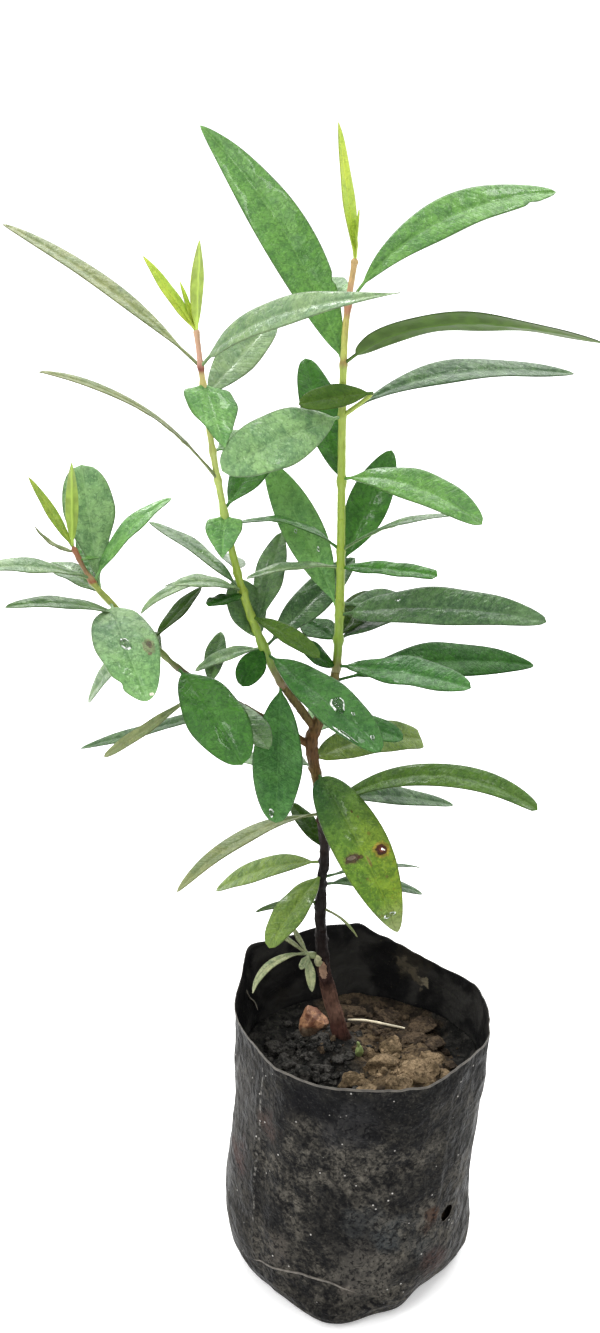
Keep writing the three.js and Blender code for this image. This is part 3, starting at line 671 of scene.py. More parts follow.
def polythene_look(name):
    """Black film with soil dust dried on it in blotches, strokes and specks, and round stains, with patches
    of painted sheen and painted shadow among them.
    """
    look = Look(name, 0.40, 0.025)
    where = look.shifted(14, 0.026)
    broad = look.noise(19, 5, distortion=0.4)
    middle = look.noise(7.0, 5, distortion=0.3)
    turned = look.add("VectorRotate", {"Vector": look.place, "Axis": (0.3, 1.0, 0.0), "Angle": radians(38)})
    small = look.noise(2.2, 4, look.vector("MULTIPLY", turned, (1.0, 1.0, 0.38)), 0.3)
    grain = look.noise(1.5, 4, distortion=0.5)
    x, y, z = look.parts(look.place)
    blotches = look.step(middle, 0.40, 0.68, 0.06, 0.42)
    strokes = look.step(small, 0.48, 0.64, 0.0, 0.40)
    flecks = strokes + look.creases(4, 0.07) * 0.34 + look.step(grain, 0.50, 0.64, 0.0, 0.34)
    amount = (blotches + flecks) * look.step(broad, 0.38, 0.62, 0.25, 1.0)
    film = look.mix(amount * look.step(z, 0.090, 0.103, 0.85, 0.30), BLACK_FILM, DRIED_SOIL)
    # Round stains, and patches of painted sheen and painted shadow.
    film = round_patches(look, film, BAG_STAINS_SHEEN_AND_SHADOW, where, BAG_RADIUS, 0.4, 1.3)
    turn = look.math("ARCTAN2", y, x) - radians(SEAM_BEARING - 360)
    line = look.step(abs(turn), 0.004, 0.014, 1.0, 0.0)
    dots = line * look.step(look.noise(2.4, 3), 0.48, 0.60, 0.0, 0.5)
    rare = look.step(look.noise(9, 1), 0.48, 0.56)
    speck = look.step(look.cells(4.2, look.place), 0.05, 0.11, 0.85, 0.0) * rare
    film = look.layered(film, [
        [look.step(middle, 0.34, 0.47, 0.6, 0.0), (0.0070, 0.0070, 0.0076)],
        [look.step(grain, 0.34, 0.47, 0.85, 0.0), (0.0045, 0.0045, 0.0050)],
        [look.creases(9, 0.02) * 0.8, (0.004, 0.004, 0.0045)],
        [look.step(look.noise(0.9, 2), 0.60, 0.72, 0.0, 0.14), (0.17, 0.16, 0.14)],
        [dots * look.step(z, 0.026, 0.04), (0.26, 0.25, 0.23)],
        [speck, (0.52, 0.50, 0.47)],
    ])
    height = look.noise(4.5, 4, distortion=0.5) + small * 0.3 + look.cells(7, where) * 0.45
    return look.finished(film, middle, 0.30, 0.60, (height, 1.6, 0.9))


def inside_look(name):
    look = Look(name, 0.4, 0.12)
    where = look.shifted(3, 0.012)
    broad = look.noise(16, 4, distortion=0.7)
    film = look.mix(look.step(broad, 0.42, 0.64), (0.010, 0.010, 0.0105), (0.036, 0.035, 0.033))
    film = round_patches(look, film, INSIDE_STAINS, where, BAG_RADIUS - 2, 0.5, 1.1)
    specks = look.step(look.noise(0.9, 2), 0.66, 0.74, 0.0, 0.35)
    film = look.mix(specks, film, (0.09, 0.08, 0.065))
    return look.finished(film, broad, 0.3, 0.55, (look.noise(6, 4, distortion=0.9), 1.2, 0.8))


def soil_look(name, dark, light, cell):
    look = Look(name, 0.92, 0.12)
    lumps = look.noise(cell, 5, distortion=0.6)
    crumbs = look.noise(cell * 0.28, 4)
    tint = look.mix(look.step(lumps, 0.38, 0.62), dark, light)
    tint = look.layered(tint, [
        [look.step(crumbs, 0.50, 0.66, 0.0, 0.7), shade(dark, 0.45)],
        [look.step(crumbs, 0.34, 0.44, 0.5, 0.0), shade(light, 1.3)],
        # Dark lines along the crevices: painted shade.
        [look.creases(cell * 0.5, 0.03) * 0.7, shade(dark, 0.3)],
        # The palest specks: painted highlights.
        [look.step(look.noise(0.7, 2), 0.68, 0.74, 0.0, 0.5), shade(light, 1.9)],
    ])
    return look.finished(tint, lumps, 0.8, 1.0, (crumbs + look.noise(0.9, 3), 0.7, 0.9))


def ground_look(name):
    """The soil bed: black humus on the left and round the stem, brown soil to the right and behind, and black
    along the right edge by the wall, a painted shadow.
    """
    look = Look(name, 0.92, 0.14)
    x, y, _ = look.parts(look.place)
    sway = look.sway(8, 4, 0.030)
    lumps = look.noise(6, 5, distortion=0.6)
    crumbs = look.noise(1.8, 4)
    humus_and_shade = look.mix(look.step(lumps, 0.40, 0.62), (0.006, 0.006, 0.0055), (0.032, 0.030, 0.027))
    loam = look.mix(look.step(lumps, 0.38, 0.62), (0.030, 0.020, 0.012), (0.115, 0.080, 0.045))
    ledge = look.mix(look.step(lumps, 0.38, 0.62), (0.018, 0.013, 0.009), (0.066, 0.047, 0.030))
    right = look.step(x + sway, -0.008, 0.008)
    front = look.step(y + sway, 0.010, 0.022, 1.0, 0.0)
    tint = look.mix(front, ledge, look.mix(right, humus_and_shade, loam))
    tint = look.mix(look.step(x + sway, -0.022, -0.012), humus_and_shade, tint)
    # Black along the right edge by the wall, where the soil drops away: painted shadow.
    tint = look.mix(look.step(x + sway, 0.030, 0.038), tint, humus_and_shade)
    tint = look.mix(look.step(crumbs, 0.50, 0.66, 0.0, 0.75), tint, look.tinted(tint, 0.3, 0.3, 0.3))
    bits = look.step(look.noise(0.8, 2), 0.67, 0.74, 0.0, 0.5)
    tint = look.mix(bits, tint, look.vector("ADD", tint, (0.10, 0.085, 0.065)))
    return look.finished(tint, lumps, 0.75, 1.0, (crumbs + look.noise(0.9, 3), 0.8, 0.9))


def stone_look(name):
    look = Look(name, 0.5, 0.4)
    patches = look.noise(5, 4, distortion=0.8)
    share = look.step(patches, 0.40, 0.60)
    red = look.mix(share, (0.17, 0.070, 0.040), (0.42, 0.215, 0.112))
    buff = look.mix(share, (0.17, 0.11, 0.07), (0.33, 0.24, 0.16))
    low = look.parts(look.place)[2] + look.sway(3, 3, 0.008)
    tint = look.mix(look.step(low, 0.0955, 0.0990), buff, red)
    tint = look.mix(look.creases(4, 0.03) * 0.6, tint, (0.05, 0.02, 0.015))
    return look.finished(tint, patches, 0.35, 0.65, (look.noise(1.6, 4), 0.5, 0.8))


def water_look(name):
    """Clear water: its rim and top are a little uneven."""
    look = Look(name, 0.03, 0.8)
    look.set("Transmission Weight", 1.0)
    look.set("IOR", 1.33)
    clear = (0.97, 0.99, 0.97)
    return look.finished(clear, look.noise(1.0, 2), 0.0, 0.06, (look.noise(1.4, 1), 0.10, 0.5))


def glint_look(name):
    """The sky caught in the rim of a drop, as pale patches in the base colour: a painted reflection."""
    look = Look(name, 0.08, 1.0)
    shine = look.step(look.noise(1.1, 2), 0.40, 0.60)
    tint = look.mix(shine, (0.30, 0.38, 0.30), (0.95, 0.97, 0.95))
    return look.finished(tint, look.noise(1.0, 2), 0.05, 0.2, (look.noise(1.4, 1), 0.10, 0.5))


def plain_look(name, colour, roughness, cell, depth):
    look = Look(name, roughness, 0.4)
    patches = look.noise(cell, 4)
    tint = look.mix(look.step(patches, 0.35, 0.65), shade(colour, 0.65), shade(colour, 1.2))
    relief = (look.noise(cell * 0.4, 3), depth, 0.8)
    return look.finished(tint, patches, roughness - 0.1, roughness + 0.1, relief)


# Meshes

def placed(name, data):
    """A new object in the scene."""
    made = bpy.data.objects.new(name, data)
    bpy.context.scene.collection.objects.link(made)
    return made


class Build:
    """Points in millimetres, faces and face materials that become one piece."""

    def __init__(self):
        self.points = []
        self.faces = []
        self.looks = []
        self.places = []
        self.count = 0

    def add(self, points, faces, looks=None, places=None):
        """Adds faces and the points that they use."""
        points = np.asarray(points, float).reshape(-1, 3)
        used = np.zeros(len(points), bool)
        used[list(itertools.chain(*faces))] = True
        renumber = (np.cumsum(used) - 1 + self.count).tolist()
        self.points.append(points[used])
        self.faces += [tuple(renumber[i] for i in face) for face in faces]
        self.looks += looks or [0] * len(faces)
        self.places.append(np.zeros((used.sum(), 4)) if places is None else places[used])
        self.count += int(used.sum())

    def piece(self, name, materials, nodes=(), smooth=True):
        mesh = bpy.data.meshes.new(name)
        mesh.from_pydata((np.vstack(self.points) * MM).tolist(), [], self.faces)
        for material in materials:
            mesh.materials.append(material)
        mesh.polygons.foreach_set("material_index", self.looks)
        mesh.polygons.foreach_set("use_smooth", [smooth] * len(mesh.polygons))
        corners = np.zeros(len(mesh.loops), int)
        mesh.loops.foreach_get("vertex_index", corners)
        places = np.vstack(self.places)[corners]
        for column, layer_name in ((0, "leaf_mm"), (2, "leaf_share")):
            layer = mesh.uv_layers.new(name=layer_name)
            layer.data.foreach_set("uv", places[:, column:column + 2].ravel())
        mesh.update()
        made = placed(name, mesh)
        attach(made, "root")
        if nodes:
            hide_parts(*nodes)
        return made


def ring_faces(rings, sides):
    """Faces between rings of equal count, turning counter-clockwise seen from the far end."""
    faces = []
    for low in range(0, (rings - 1) * sides, sides):
        for i in range(sides):
            j = (i + 1) % sides
            faces.append((low + i, low + j, low + sides + j, low + sides + i))
    return faces


def fan(middle, start, sides, turned=False):
    """Faces between a middle point and the ring that begins at start."""
    edges = [(start + i, start + (i + 1) % sides) for i in range(sides)]
    return [(middle, b, a) if turned else (middle, a, b) for a, b in edges]


# Thin sheets with two faces, and holes in them

FRONT = 0
BACK = 1
WALL = 2


def shell(index, closed):
    """Faces of a sheet and their kinds. closed holds its cells and, round them, what lies past its edges."""
    shift = index.size
    faces = []
    kinds = []
    for i, j in np.argwhere(closed[1:-1, 1:-1]):
        over = (i + 1) % len(index)
        a, b, c, d = index[i, j], index[over, j], index[over, j + 1], index[i, j + 1]
        faces += [(a, b, c, d), (d + shift, c + shift, b + shift, a + shift)]
        kinds += [FRONT, BACK]
        beyond = closed[i + 1, j], closed[i + 2, j + 1], closed[i + 1, j + 2], closed[i, j + 1]
        for start, end, joined in zip((b, c, d, a), (a, b, c, d), beyond):
            if not joined:
                faces.append((start, end, end + shift, start + shift))
                kinds.append(WALL)
    return faces, kinds


def punched(dx, dy, radius, ripples, wraps=False):
    """Which cells of a grid a hole takes, and the factor that draws their corners onto its outline."""
    away = np.hypot(dx, dy)
    rows = len(away) - 1
    columns = away.shape[1] - (not wraps)
    middle = sum(np.roll(away, -side, axis=1)[k:k + rows, :columns] for k, side in np.ndindex(2, 2)) / 4
    gone = middle < radius
    padded = np.pad(gone, ((0, 0), (0, away.shape[1] - columns)))
    corners = np.zeros(away.shape, bool)
    for k, side in np.ndindex(2, 2):
        corners[k:k + rows] |= np.roll(padded, side, axis=1)
    turn = np.arctan2(dy, dx)
    outline = radius * (1 + sum(size * np.sin(count * turn + shift) for size, count, shift in ripples))
    return gone, np.where(corners, outline / np.maximum(away, 1e-6), 1)


# Limbs: the CAD's curves, with bark and nodes

def catmull_rom(values, share):
    """The CAD's limb curve through values, at shares from 0 to 1."""
    values = np.asarray(values, float)
    whole = np.vstack([2 * values[0] - values[1], values, 2 * values[-1] - values[-2]])
    spans = len(values) - 1
    where = np.clip(np.asarray(share, float) * spans, 0, spans - 1e-9)
    k = np.floor(where).astype(int)
    t = (where - k)[..., None]
    p0, p1, p2, p3 = (whole[k + i] for i in range(4))
    v0 = (p2 - p0) / 2
    v1 = (p3 - p1) / 2
    square = -3 * p1 + 3 * p2 - 2 * v0 - v1
    cube = 2 * p1 - 2 * p2 + v0 + v1
    return p1 + v0 * t + square * t**2 + cube * t**3


def limb_at(limb, heights):
    """Centre and radius of a limb at those heights."""
    fine = np.linspace(0, 1, 2001)
    track = catmull_rom(LIMBS[limb], fine)
    share = np.interp(heights, track[:, 2], fine)
    found = catmull_rom(LIMBS[limb], share)
    return found[..., :3], found[..., 3]


def tube(build, centres, radii, sides, relief, flat_foot=False):
    """A closed tube along centres. relief(points) gives how far its skin stands out."""
    along = np.gradient(centres, axis=0)
    if flat_foot:
        along[0] = (0, 0, 1)
    along /= np.linalg.norm(along, axis=1, keepdims=True)
    side = np.cross((0, 1, 0), along)
    side /= np.linalg.norm(side, axis=1, keepdims=True)
    front = np.cross(along, side)
    angles = np.linspace(0, 2 * math.pi, sides, endpoint=False)
    out = side[:, None] * np.cos(angles)[:, None] + front[:, None] * np.sin(angles)[:, None]
    skin = centres[:, None] + out * radii[:, None, None]
    skin = skin + out * relief(skin)[..., None]
    if flat_foot:
        skin[0, :, 2] = centres[0, 2]
    foot = len(centres) * sides
    faces = ring_faces(len(centres), sides) + fan(foot, 0, sides, True) + fan(foot + 1, foot - sides, sides)
    build.add(np.vstack([skin.reshape(-1, 3), centres[0], centres[-1]]), faces)


# Leaves

LEAF_FOLD = 0.34
LEAF_CURL = 0.22
BLADE_HALF = 0.17
LEAF_COLUMNS = 18
FINE_CELLS = (160, 60)
TRACK_STEPS = 96
STALK_HALF = 0.6


def leaf_frame(row, share):
    """Unit vectors along, across and out of a blade at those shares of its length."""
    _, bearing, rise, _, _, arch, droop, sweep, roll = row[:9]
    up = np.radians(rise + arch * ((1 - share) ** 2 - 1 / 3) - droop * (share**2 - 1 / 3))
    turn = np.radians(bearing + sweep * (share - 0.5))
    along = np.stack([np.cos(up) * np.cos(turn), np.cos(up) * np.sin(turn), np.sin(up)], -1)
    level = np.stack([-np.sin(turn), np.cos(turn), np.zeros_like(turn)], -1)
    face = np.cross(along, level)
    tilt = radians(roll)
    side = level * math.cos(tilt) + face * math.sin(tilt)
    normal = face * math.cos(tilt) - level * math.sin(tilt)
    return along, side, normal


class Leaf:
    """One leaf: its outline, the surfaces of its two sides, and its mesh."""

    def __init__(self, limb, row, seed):
        self.row = row
        self.base = limb_at(limb, row[0])[0]
        self.draw = np.random.default_rng(seed)
        self.wave = self.draw.uniform(0.25, 0.6) * row[4] / 14
        self.waves = self.draw.uniform(1.4, 3.0, 2)
        self.phases = self.draw.uniform(0, 2 * math.pi, 2)
        self.edge = self.draw.uniform(0.01, 0.03)
        self.seed = seed
        self.nicks = [nick[3:] for nick in NICKS if nick[:3] == [limb, *row[:2]]]

    def half_width(self, share, across):
        widest, base_blunt, tip_blunt, stalk = LEAF_KINDS[self.row[9]]
        blade = np.clip((share - stalk) / (1 - stalk), 0, 1)
        bluntness = np.where(blade < 0.5 ** (1 / widest), base_blunt, tip_blunt)
        reach = self.row[4] / 2 * np.sin(math.pi * blade**widest) ** bluntness
        reach = reach * (1 + self.edge * np.sin(9 * share + self.phases[0] + 2 * np.sign(across)))
        for side, at, spread, depth in self.nicks:
            reach = reach * (1 - depth * bump(share - at, spread) * (across * side > 0))
        return np.maximum(reach, STALK_HALF * (1 - 0.8 * share))

    def surface(self, share, across, top):
        """Points at shares from stalk to tip and across from -1 to 1, both arrays of one shape."""
        steps = np.linspace(0, 1, TRACK_STEPS + 1)
        along = leaf_frame(self.row, (steps[1:] + steps[:-1]) / 2)[0]
        track = np.vstack([np.zeros(3), np.cumsum(along, axis=0) * self.row[3] / TRACK_STEPS])
        middle = np.stack([np.interp(share, steps, track[:, i]) for i in range(3)], -1)
        _, side, normal = leaf_frame(self.row, share)
        half = self.half_width(share, across)
        stalk_share = LEAF_KINDS[self.row[9]][3]
        stalk = 1 - smooth_step(share, stalk_share * 0.7, stalk_share + 0.1)
        away = np.abs(across)
        lift = half * (LEAF_FOLD * away - LEAF_CURL * away**2)
        sides = np.where(across > 0, 0, 1)
        ripple = np.sin(2 * math.pi * self.waves[sides] * share + self.phases[sides])
        lift = lift + self.wave * away**2 * ripple * np.sin(math.pi * share)
        across_mm = across * half
        along_mm = share * self.row[3]
        spot = np.stack([across_mm, along_mm, np.full_like(share, self.seed * 31.0)], -1)
        crinkle = 0.22 * noise(spot, 2.6, 5) + 0.07 * noise(spot, 1.2, 6)
        lift = lift + crinkle * (1 - stalk) * (1 - away**4)
        groove = bump(across_mm, 0.55)
        round_half = STALK_HALF * np.sqrt(1 - 0.97 * across**2)
        half_thick = BLADE_HALF * (1 - stalk) + round_half * stalk
        if top:
            height = lift * (1 - stalk) - 0.2 * groove * (1 - stalk) + half_thick
        else:
            ridge = 0.5 * groove * (1 - share) ** 0.7 * (1 - stalk)
            height = lift * (1 - stalk) - ridge - half_thick
        place = self.base + middle + side * across_mm[..., None] + normal * height[..., None]
        return place, np.stack([across_mm, along_mm, across, share], -1)

    def mesh(self, build, top_look, under_look, cells=None, holes=()):
        """Adds the leaf to build. A hole is its share along, share across and radius."""
        rows, columns = cells or (int(np.clip(self.row[3] * 0.9, 24, 76)), LEAF_COLUMNS)
        share, across = np.meshgrid(
            np.linspace(0, 1, rows + 1), np.linspace(-1, 1, columns + 1), indexing="ij")
        kept = np.ones((rows, columns), bool)
        for at_share, at_across, radius in holes:
            half = self.half_width(share, across)
            dx = (across - at_across) * half
            dy = (share - at_share) * self.row[3]
            gone, pull = punched(dx, dy, radius, [(0.12, 3, 0)])
            share = at_share + dy * pull / self.row[3]
            across = at_across + dx * pull / half
            kept &= ~gone
        faces, kinds = shell(np.arange(share.size).reshape(share.shape), np.pad(kept, 1))
        looks = [under_look if kind == BACK else top_look for kind in kinds]
        sides = [self.surface(share, across, top) for top in (True, False)]
        points = np.vstack([skin.reshape(-1, 3) for skin, _ in sides])
        places = np.vstack([place.reshape(-1, 4) for _, place in sides])
        build.add(points, faces, looks, places)


def leaves_between(limb, low, high):
    return [row for row in LEAVES[limb] if low <= row[0] <= high]


def leaf_row(limb, height, bearing):
    return next(row for row in LEAVES[limb] if row[:2] == [height, bearing])


leaf_materials = {}


def tone_materials(tone):
    """The materials of a tone's upper face and underside, made at its first use."""
    if tone not in leaf_materials:
        top, under, gloss, mottling = TONES[tone]
        look = Look(f"leaf_{tone}", LEAF_GLOSS, gloss, min(0.2, gloss))
        leaf_materials[tone] = [leaf_skin(look, top, mottling), leaf_under(f"leaf_{tone}_under", under)]
    return leaf_materials[tone]


def seed_of(limb, row):
    return 1000 * list(LEAVES).index(limb) + LEAVES[limb].index(row)


def leaf_piece(name, limb, rows, nodes):
    build = Build()
    tones = sorted({row[10] for row in rows})
    materials = [material for tone in tones for material in tone_materials(tone)]
    for row in rows:
        look = 2 * tones.index(row[10])
        Leaf(limb, row, seed_of(limb, row)).mesh(build, look, look + 1)
    return build.piece(name, materials, nodes)


STEM_SIDES = 20
STRAND_SIDES = 12


def stem_piece(name, limb, low, high, material, node, thickness=1.0):
    heights = np.linspace(low, high, int((high - low) / 0.5) + 2)
    centres, radii = limb_at(limb, heights)
    radii = radii * thickness
    for height in sorted({row[0] for row in LEAVES[limb]}):
        radii = radii + 0.3 * bump(heights - height, 1.4)
    if heights[-1] >= LIMBS[limb][-1][2] - 0.5:
        radii = radii * (1 - 0.6 * smooth_step(heights, high - 1.5, high))
    build = Build()
    tube(build, centres, radii, STEM_SIDES, lambda skin: 0.07 * noise(skin, 1.4, 8))
    return build.piece(name, [material], [node])


# Bark on the trunk and boughs

TRUNK_RINGS = 420
TRUNK_SIDES = 56
BOUGH_RINGS = 90
BOUGH_SIDES = 32


def bark_relief(skin):
    stretched = skin * (1, 1, 0.35)
    fissures = 0.30 * (ridges(stretched, 1.5, 21) - 0.35)
    lumps = 0.30 * noise(skin, 4.5, 22) + 0.12 * noise(skin, 1.1, 23)
    fade = smooth_step(skin[..., 2], TRUNK_FOOT, TRUNK_FOOT + 2)
    return (fissures + lumps) * fade


# Knobs on the trunk: height, bearing, size; and the pale scar where a branch came off

KNOBS = [
    [182, 60, 1.1], [177, 140, 1.0], [172, 230, 0.9], [159, 200, 0.8], [148, -60, 0.8],
    [196, 225, 0.9], [208, 40, 0.8], [217, 150, 1.0], [167, 20, 0.9], [141, 30, 0.9], [136, 250, 0.8],
]
SCAR_HEIGHT = 129
SCAR_BEARING = 254
SCAR_SIZE = (2.1, 4.6)


def bearing_on(skin, centres):
    """The bearing of each point of a tube's skin, seen from the tube's middle."""
    return np.degrees(np.arctan2(skin[..., 1] - centres[:, None, 1], skin[..., 0] - centres[:, None, 0]))


def scar_distance(skin, centres):
    """How far points on the trunk are from the scar's middle: its edge is at 1."""
    arc = np.radians(turn_between(bearing_on(skin, centres), SCAR_BEARING)) * 2.8
    return np.hypot(arc / SCAR_SIZE[0], (skin[..., 2] - SCAR_HEIGHT) / SCAR_SIZE[1])


def trunk_piece(material, scar_material):
    heights = np.linspace(TRUNK_FOOT, TRUNK_TOP, TRUNK_RINGS)
    centres, radii = limb_at("main", heights)
    radii = radii * (1 - 0.24 * bump(heights - TRUNK_FOOT, 12) + 0.10 * bump(heights - 232, 10))

    def relief(skin):
        out = bark_relief(skin)
        bearing = bearing_on(skin, centres)
        for height, at, size in KNOBS:
            arc = np.radians(turn_between(bearing, at)) * 2.4
            out = out + size * bump(arc, 1.3) * bump(skin[..., 2] - height, 1.3)
        away = scar_distance(skin, centres)
        out = out * smooth_step(away, 0.6, 1.1) + 0.5 * bump(away - 1.1, 0.25) - 0.3 * (away < 1)
        swell = 1.1 * bump(np.radians(turn_between(bearing, 200)) * 3.5, 4) * bump(skin[..., 2] - 97, 4)
        return out + swell

    build = Build()
    tube(build, centres, radii, TRUNK_SIDES, relief, True)
    skin = build.points[0][:-2].reshape(TRUNK_RINGS, TRUNK_SIDES, 3)
    cells = (scar_distance(skin, centres) < 0.95)[:-1].ravel()
    build.looks[:len(cells)] = cells.astype(int).tolist()
    return build.piece("trunk_bark", [material, scar_material], ["trunk"])


def bough_piece(name, limb, low, high, material, node):
    heights = np.linspace(low, high, BOUGH_RINGS)
    centres, radii = limb_at(limb, heights)
    build = Build()
    tube(build, centres, radii, BOUGH_SIDES, lambda skin: 0.6 * bark_relief(skin))
    return build.piece(name, [material], [node])


# The bag

BAG_SECTORS = 320
FILM = 0.35
RIM_BAND = 88
RIM_ROWS = 30
HOLE_BEARING = 315.7
HOLE_HEIGHT = 42.5
HOLE_RADIUS = 3.4

# Creases: bearing, height, slope in degrees, half length, half width, depth

CREASES = [
    [216, 60, 94, 42, 0.9, 0.6],
    [271, 95, -20, 10, 2.4, -1.7],
    [273, 91, -18, 10, 1.8, 1.0],
    [247, 96, -68, 15, 5, -1.8],
    [234, 91, 30, 12, 1.8, 0.9],
    [238, 60, 92, 13, 1.2, -0.8],
    [265, 80, 88, 8, 1.2, -0.8],
    [309, 70, 86, 36, 1.6, 0.8],
    [286, 74, 25, 12, 2.2, -0.9],
    [290, 52, -35, 11, 2.0, 0.8],
    [252, 44, 40, 10, 1.8, 0.8],
    [258, 5.5, 2, 7, 0.8, 0.6],
    [261, 9, 14, 8, 0.9, 0.7],
    [246, 12, -24, 9, 1.2, -0.7],
    [280, 14, 30, 10, 1.6, -0.8],
    [150, 60, 80, 30, 1.6, 0.8],
    [120, 40, 15, 14, 2.2, -0.9],
    [80, 70, -70, 18, 2.0, 0.9],
    [50, 50, 20, 16, 2.4, -1.0],
    [20, 30, -40, 14, 2.0, 0.8],
    [180, 80, 70, 16, 2.0, -1.0],
    [100, 20, -12, 16, 1.6, 0.9],
]

# The folded end of the bag: a step that runs round the lower front

FOOT_FOLD = [[200, 8], [223, 18.8], [245, 23], [259, 22.2], [268, 18.6], [292, 9], [310, 4]]


def look_up(pairs, where):
    return np.interp(where, [x for x, _ in pairs], [y for _, y in pairs])


def rim_height(bearing):
    height = BAG_HEIGHT + np.zeros_like(bearing)
    for at, spread, rise in RIM_WAVES:
        height = height + rise * bump(turn_between(bearing, at), spread)
    return height


def arc_from(bearing, at):
    """Millimetres round the bag from one bearing to another."""
    return np.radians(turn_between(bearing, at)) * BAG_RADIUS


def bag_surface(bearing, height, inset):
    """Points on the bag's film."""
    radius = look_up(BAG_PROFILE, height) - inset
    for at, spread, depth, middle, reach in BAG_FOLDS:
        radius = radius + depth * bump(turn_between(bearing, at), spread) * bump(height - middle, reach)
    angle = np.radians(bearing)
    where = np.stack([BAG_RADIUS * np.cos(angle), BAG_RADIUS * np.sin(angle), height], -1)
    wrinkle = 0.55 * noise(where, 13, 31) + 0.35 * (ridges(where, 9, 32) - 0.4)
    wrinkle = wrinkle + 0.14 * (ridges(where * (1, 1, 0.6), 4.2, 33) - 0.4)
    for at, middle, slope, length, width, depth in CREASES:
        dx = arc_from(bearing, at)
        dz = height - middle
        run = dx * math.cos(radians(slope)) + dz * math.sin(radians(slope))
        off = -dx * math.sin(radians(slope)) + dz * math.cos(radians(slope))
        wrinkle = wrinkle + depth * bump(run, length) * bump(off, width)
    under = smooth_step(look_up(FOOT_FOLD, bearing) - height, -0.4, 0.9)
    under = under * smooth_step(bearing, 205, 222) * smooth_step(-bearing, -306, -285)
    wrinkle = wrinkle - 1.1 * under
    radius = radius + wrinkle * smooth_step(height, 0, 4)
    lean = BAG_LEAN * (1 - height / BAG_HEIGHT)
    return np.stack([lean + radius * np.cos(angle), radius * np.sin(angle), height], -1)


def grow_bag(materials):
    """Rows of film, coarse up to the rim's band and then finer, with the drain hole cut out."""
    bearing = np.linspace(0, 360, BAG_SECTORS, endpoint=False)
    low = np.concatenate([[0, 0.5, 1.2, 2.0], np.arange(3, RIM_BAND, 1.0)])
    nicks = 0.35 * noise(np.stack([bearing * 0.9, bearing * 0, bearing * 0], -1), 4, 41)
    heights = np.vstack([
        np.repeat(low[:, None], BAG_SECTORS, 1),
        RIM_BAND + np.linspace(0, 1, RIM_ROWS)[:, None] * (rim_height(bearing) + nicks - RIM_BAND),
    ])
    bearings = np.broadcast_to(bearing, heights.shape)
    dx = arc_from(bearings, HOLE_BEARING)
    dz = heights - HOLE_HEIGHT
    gone, pull = punched(dx, dz, HOLE_RADIUS, [(0.10, 2, 1), (0.05, 5, 0)], True)
    bearings = np.where(pull == 1, bearings, HOLE_BEARING + np.degrees(dx * pull / BAG_RADIUS))
    heights = HOLE_HEIGHT + dz * pull
    outer = bag_surface(bearings, heights, 0)
    inner = bag_surface(bearings, np.maximum(heights, FILM), FILM)
    closed = np.pad(~gone.T, 1, mode="wrap")
    closed[:, 0] = True
    closed[:, -1] = False
    shift = heights.size
    faces, kinds = shell(np.arange(shift).reshape(heights.shape).T, closed)
    edge = shift - BAG_SECTORS
    edges = [kind == WALL or kind == FRONT and face[3] >= edge for face, kind in zip(faces, kinds)]
    looks = [WALL if at_edge else kind for at_edge, kind in zip(edges, kinds)]
    faces += fan(2 * shift, 0, BAG_SECTORS, True) + fan(2 * shift + 1, shift, BAG_SECTORS)
    looks += [FRONT] * BAG_SECTORS + [BACK] * BAG_SECTORS
    middles = [[BAG_LEAN, 0, 0], [BAG_LEAN, 0, FILM]]
    build = Build()
    build.add(np.vstack([outer.reshape(-1, 3), inner.reshape(-1, 3), middles]), faces, looks)
    return build.piece("bag_film", materials, ["grow_bag"])


# The soil and what lies on it

SOIL_INSET = 0.8
COLLAR = 1.6

SOIL_SECTORS = 240
SOIL_RINGS = 70

# Dips where the soil has drawn back from the film: x, y, radius, depth

SOIL_DIPS = [[42, 12, 11, 6], [-40, 18, 10, 3], [36, 30, 10, 4], [8, 4, 5, 1.5]]
FOOT = np.array(LIMBS["main"][0][:2])


def soil_height(x, y):
    away = np.hypot(x - FOOT[0], y - FOOT[1])
    height = SOIL_LEVEL + (TRUNK_FOOT + COLLAR - SOIL_LEVEL) * bump(away, 16)
    for lump_x, lump_y, radius, rise in SOIL_LUMPS:
        height = height + rise * bump(np.hypot(x - lump_x, y - lump_y), radius)
    for dip_x, dip_y, radius, depth in SOIL_DIPS:
        height = height - depth * bump(np.hypot(x - dip_x, y - dip_y), radius)
    where = np.stack([x, y, np.zeros_like(x)], -1)
    rough = 1.3 * noise(where, 7, 51) + 0.8 * (ridges(where, 4, 52) - 0.4) + 0.45 * noise(where, 1.8, 53)
    return height + rough * smooth_step(away, 4, 9)


def soil_at(x, y):
    return float(soil_height(np.array(float(x)), np.array(float(y))))


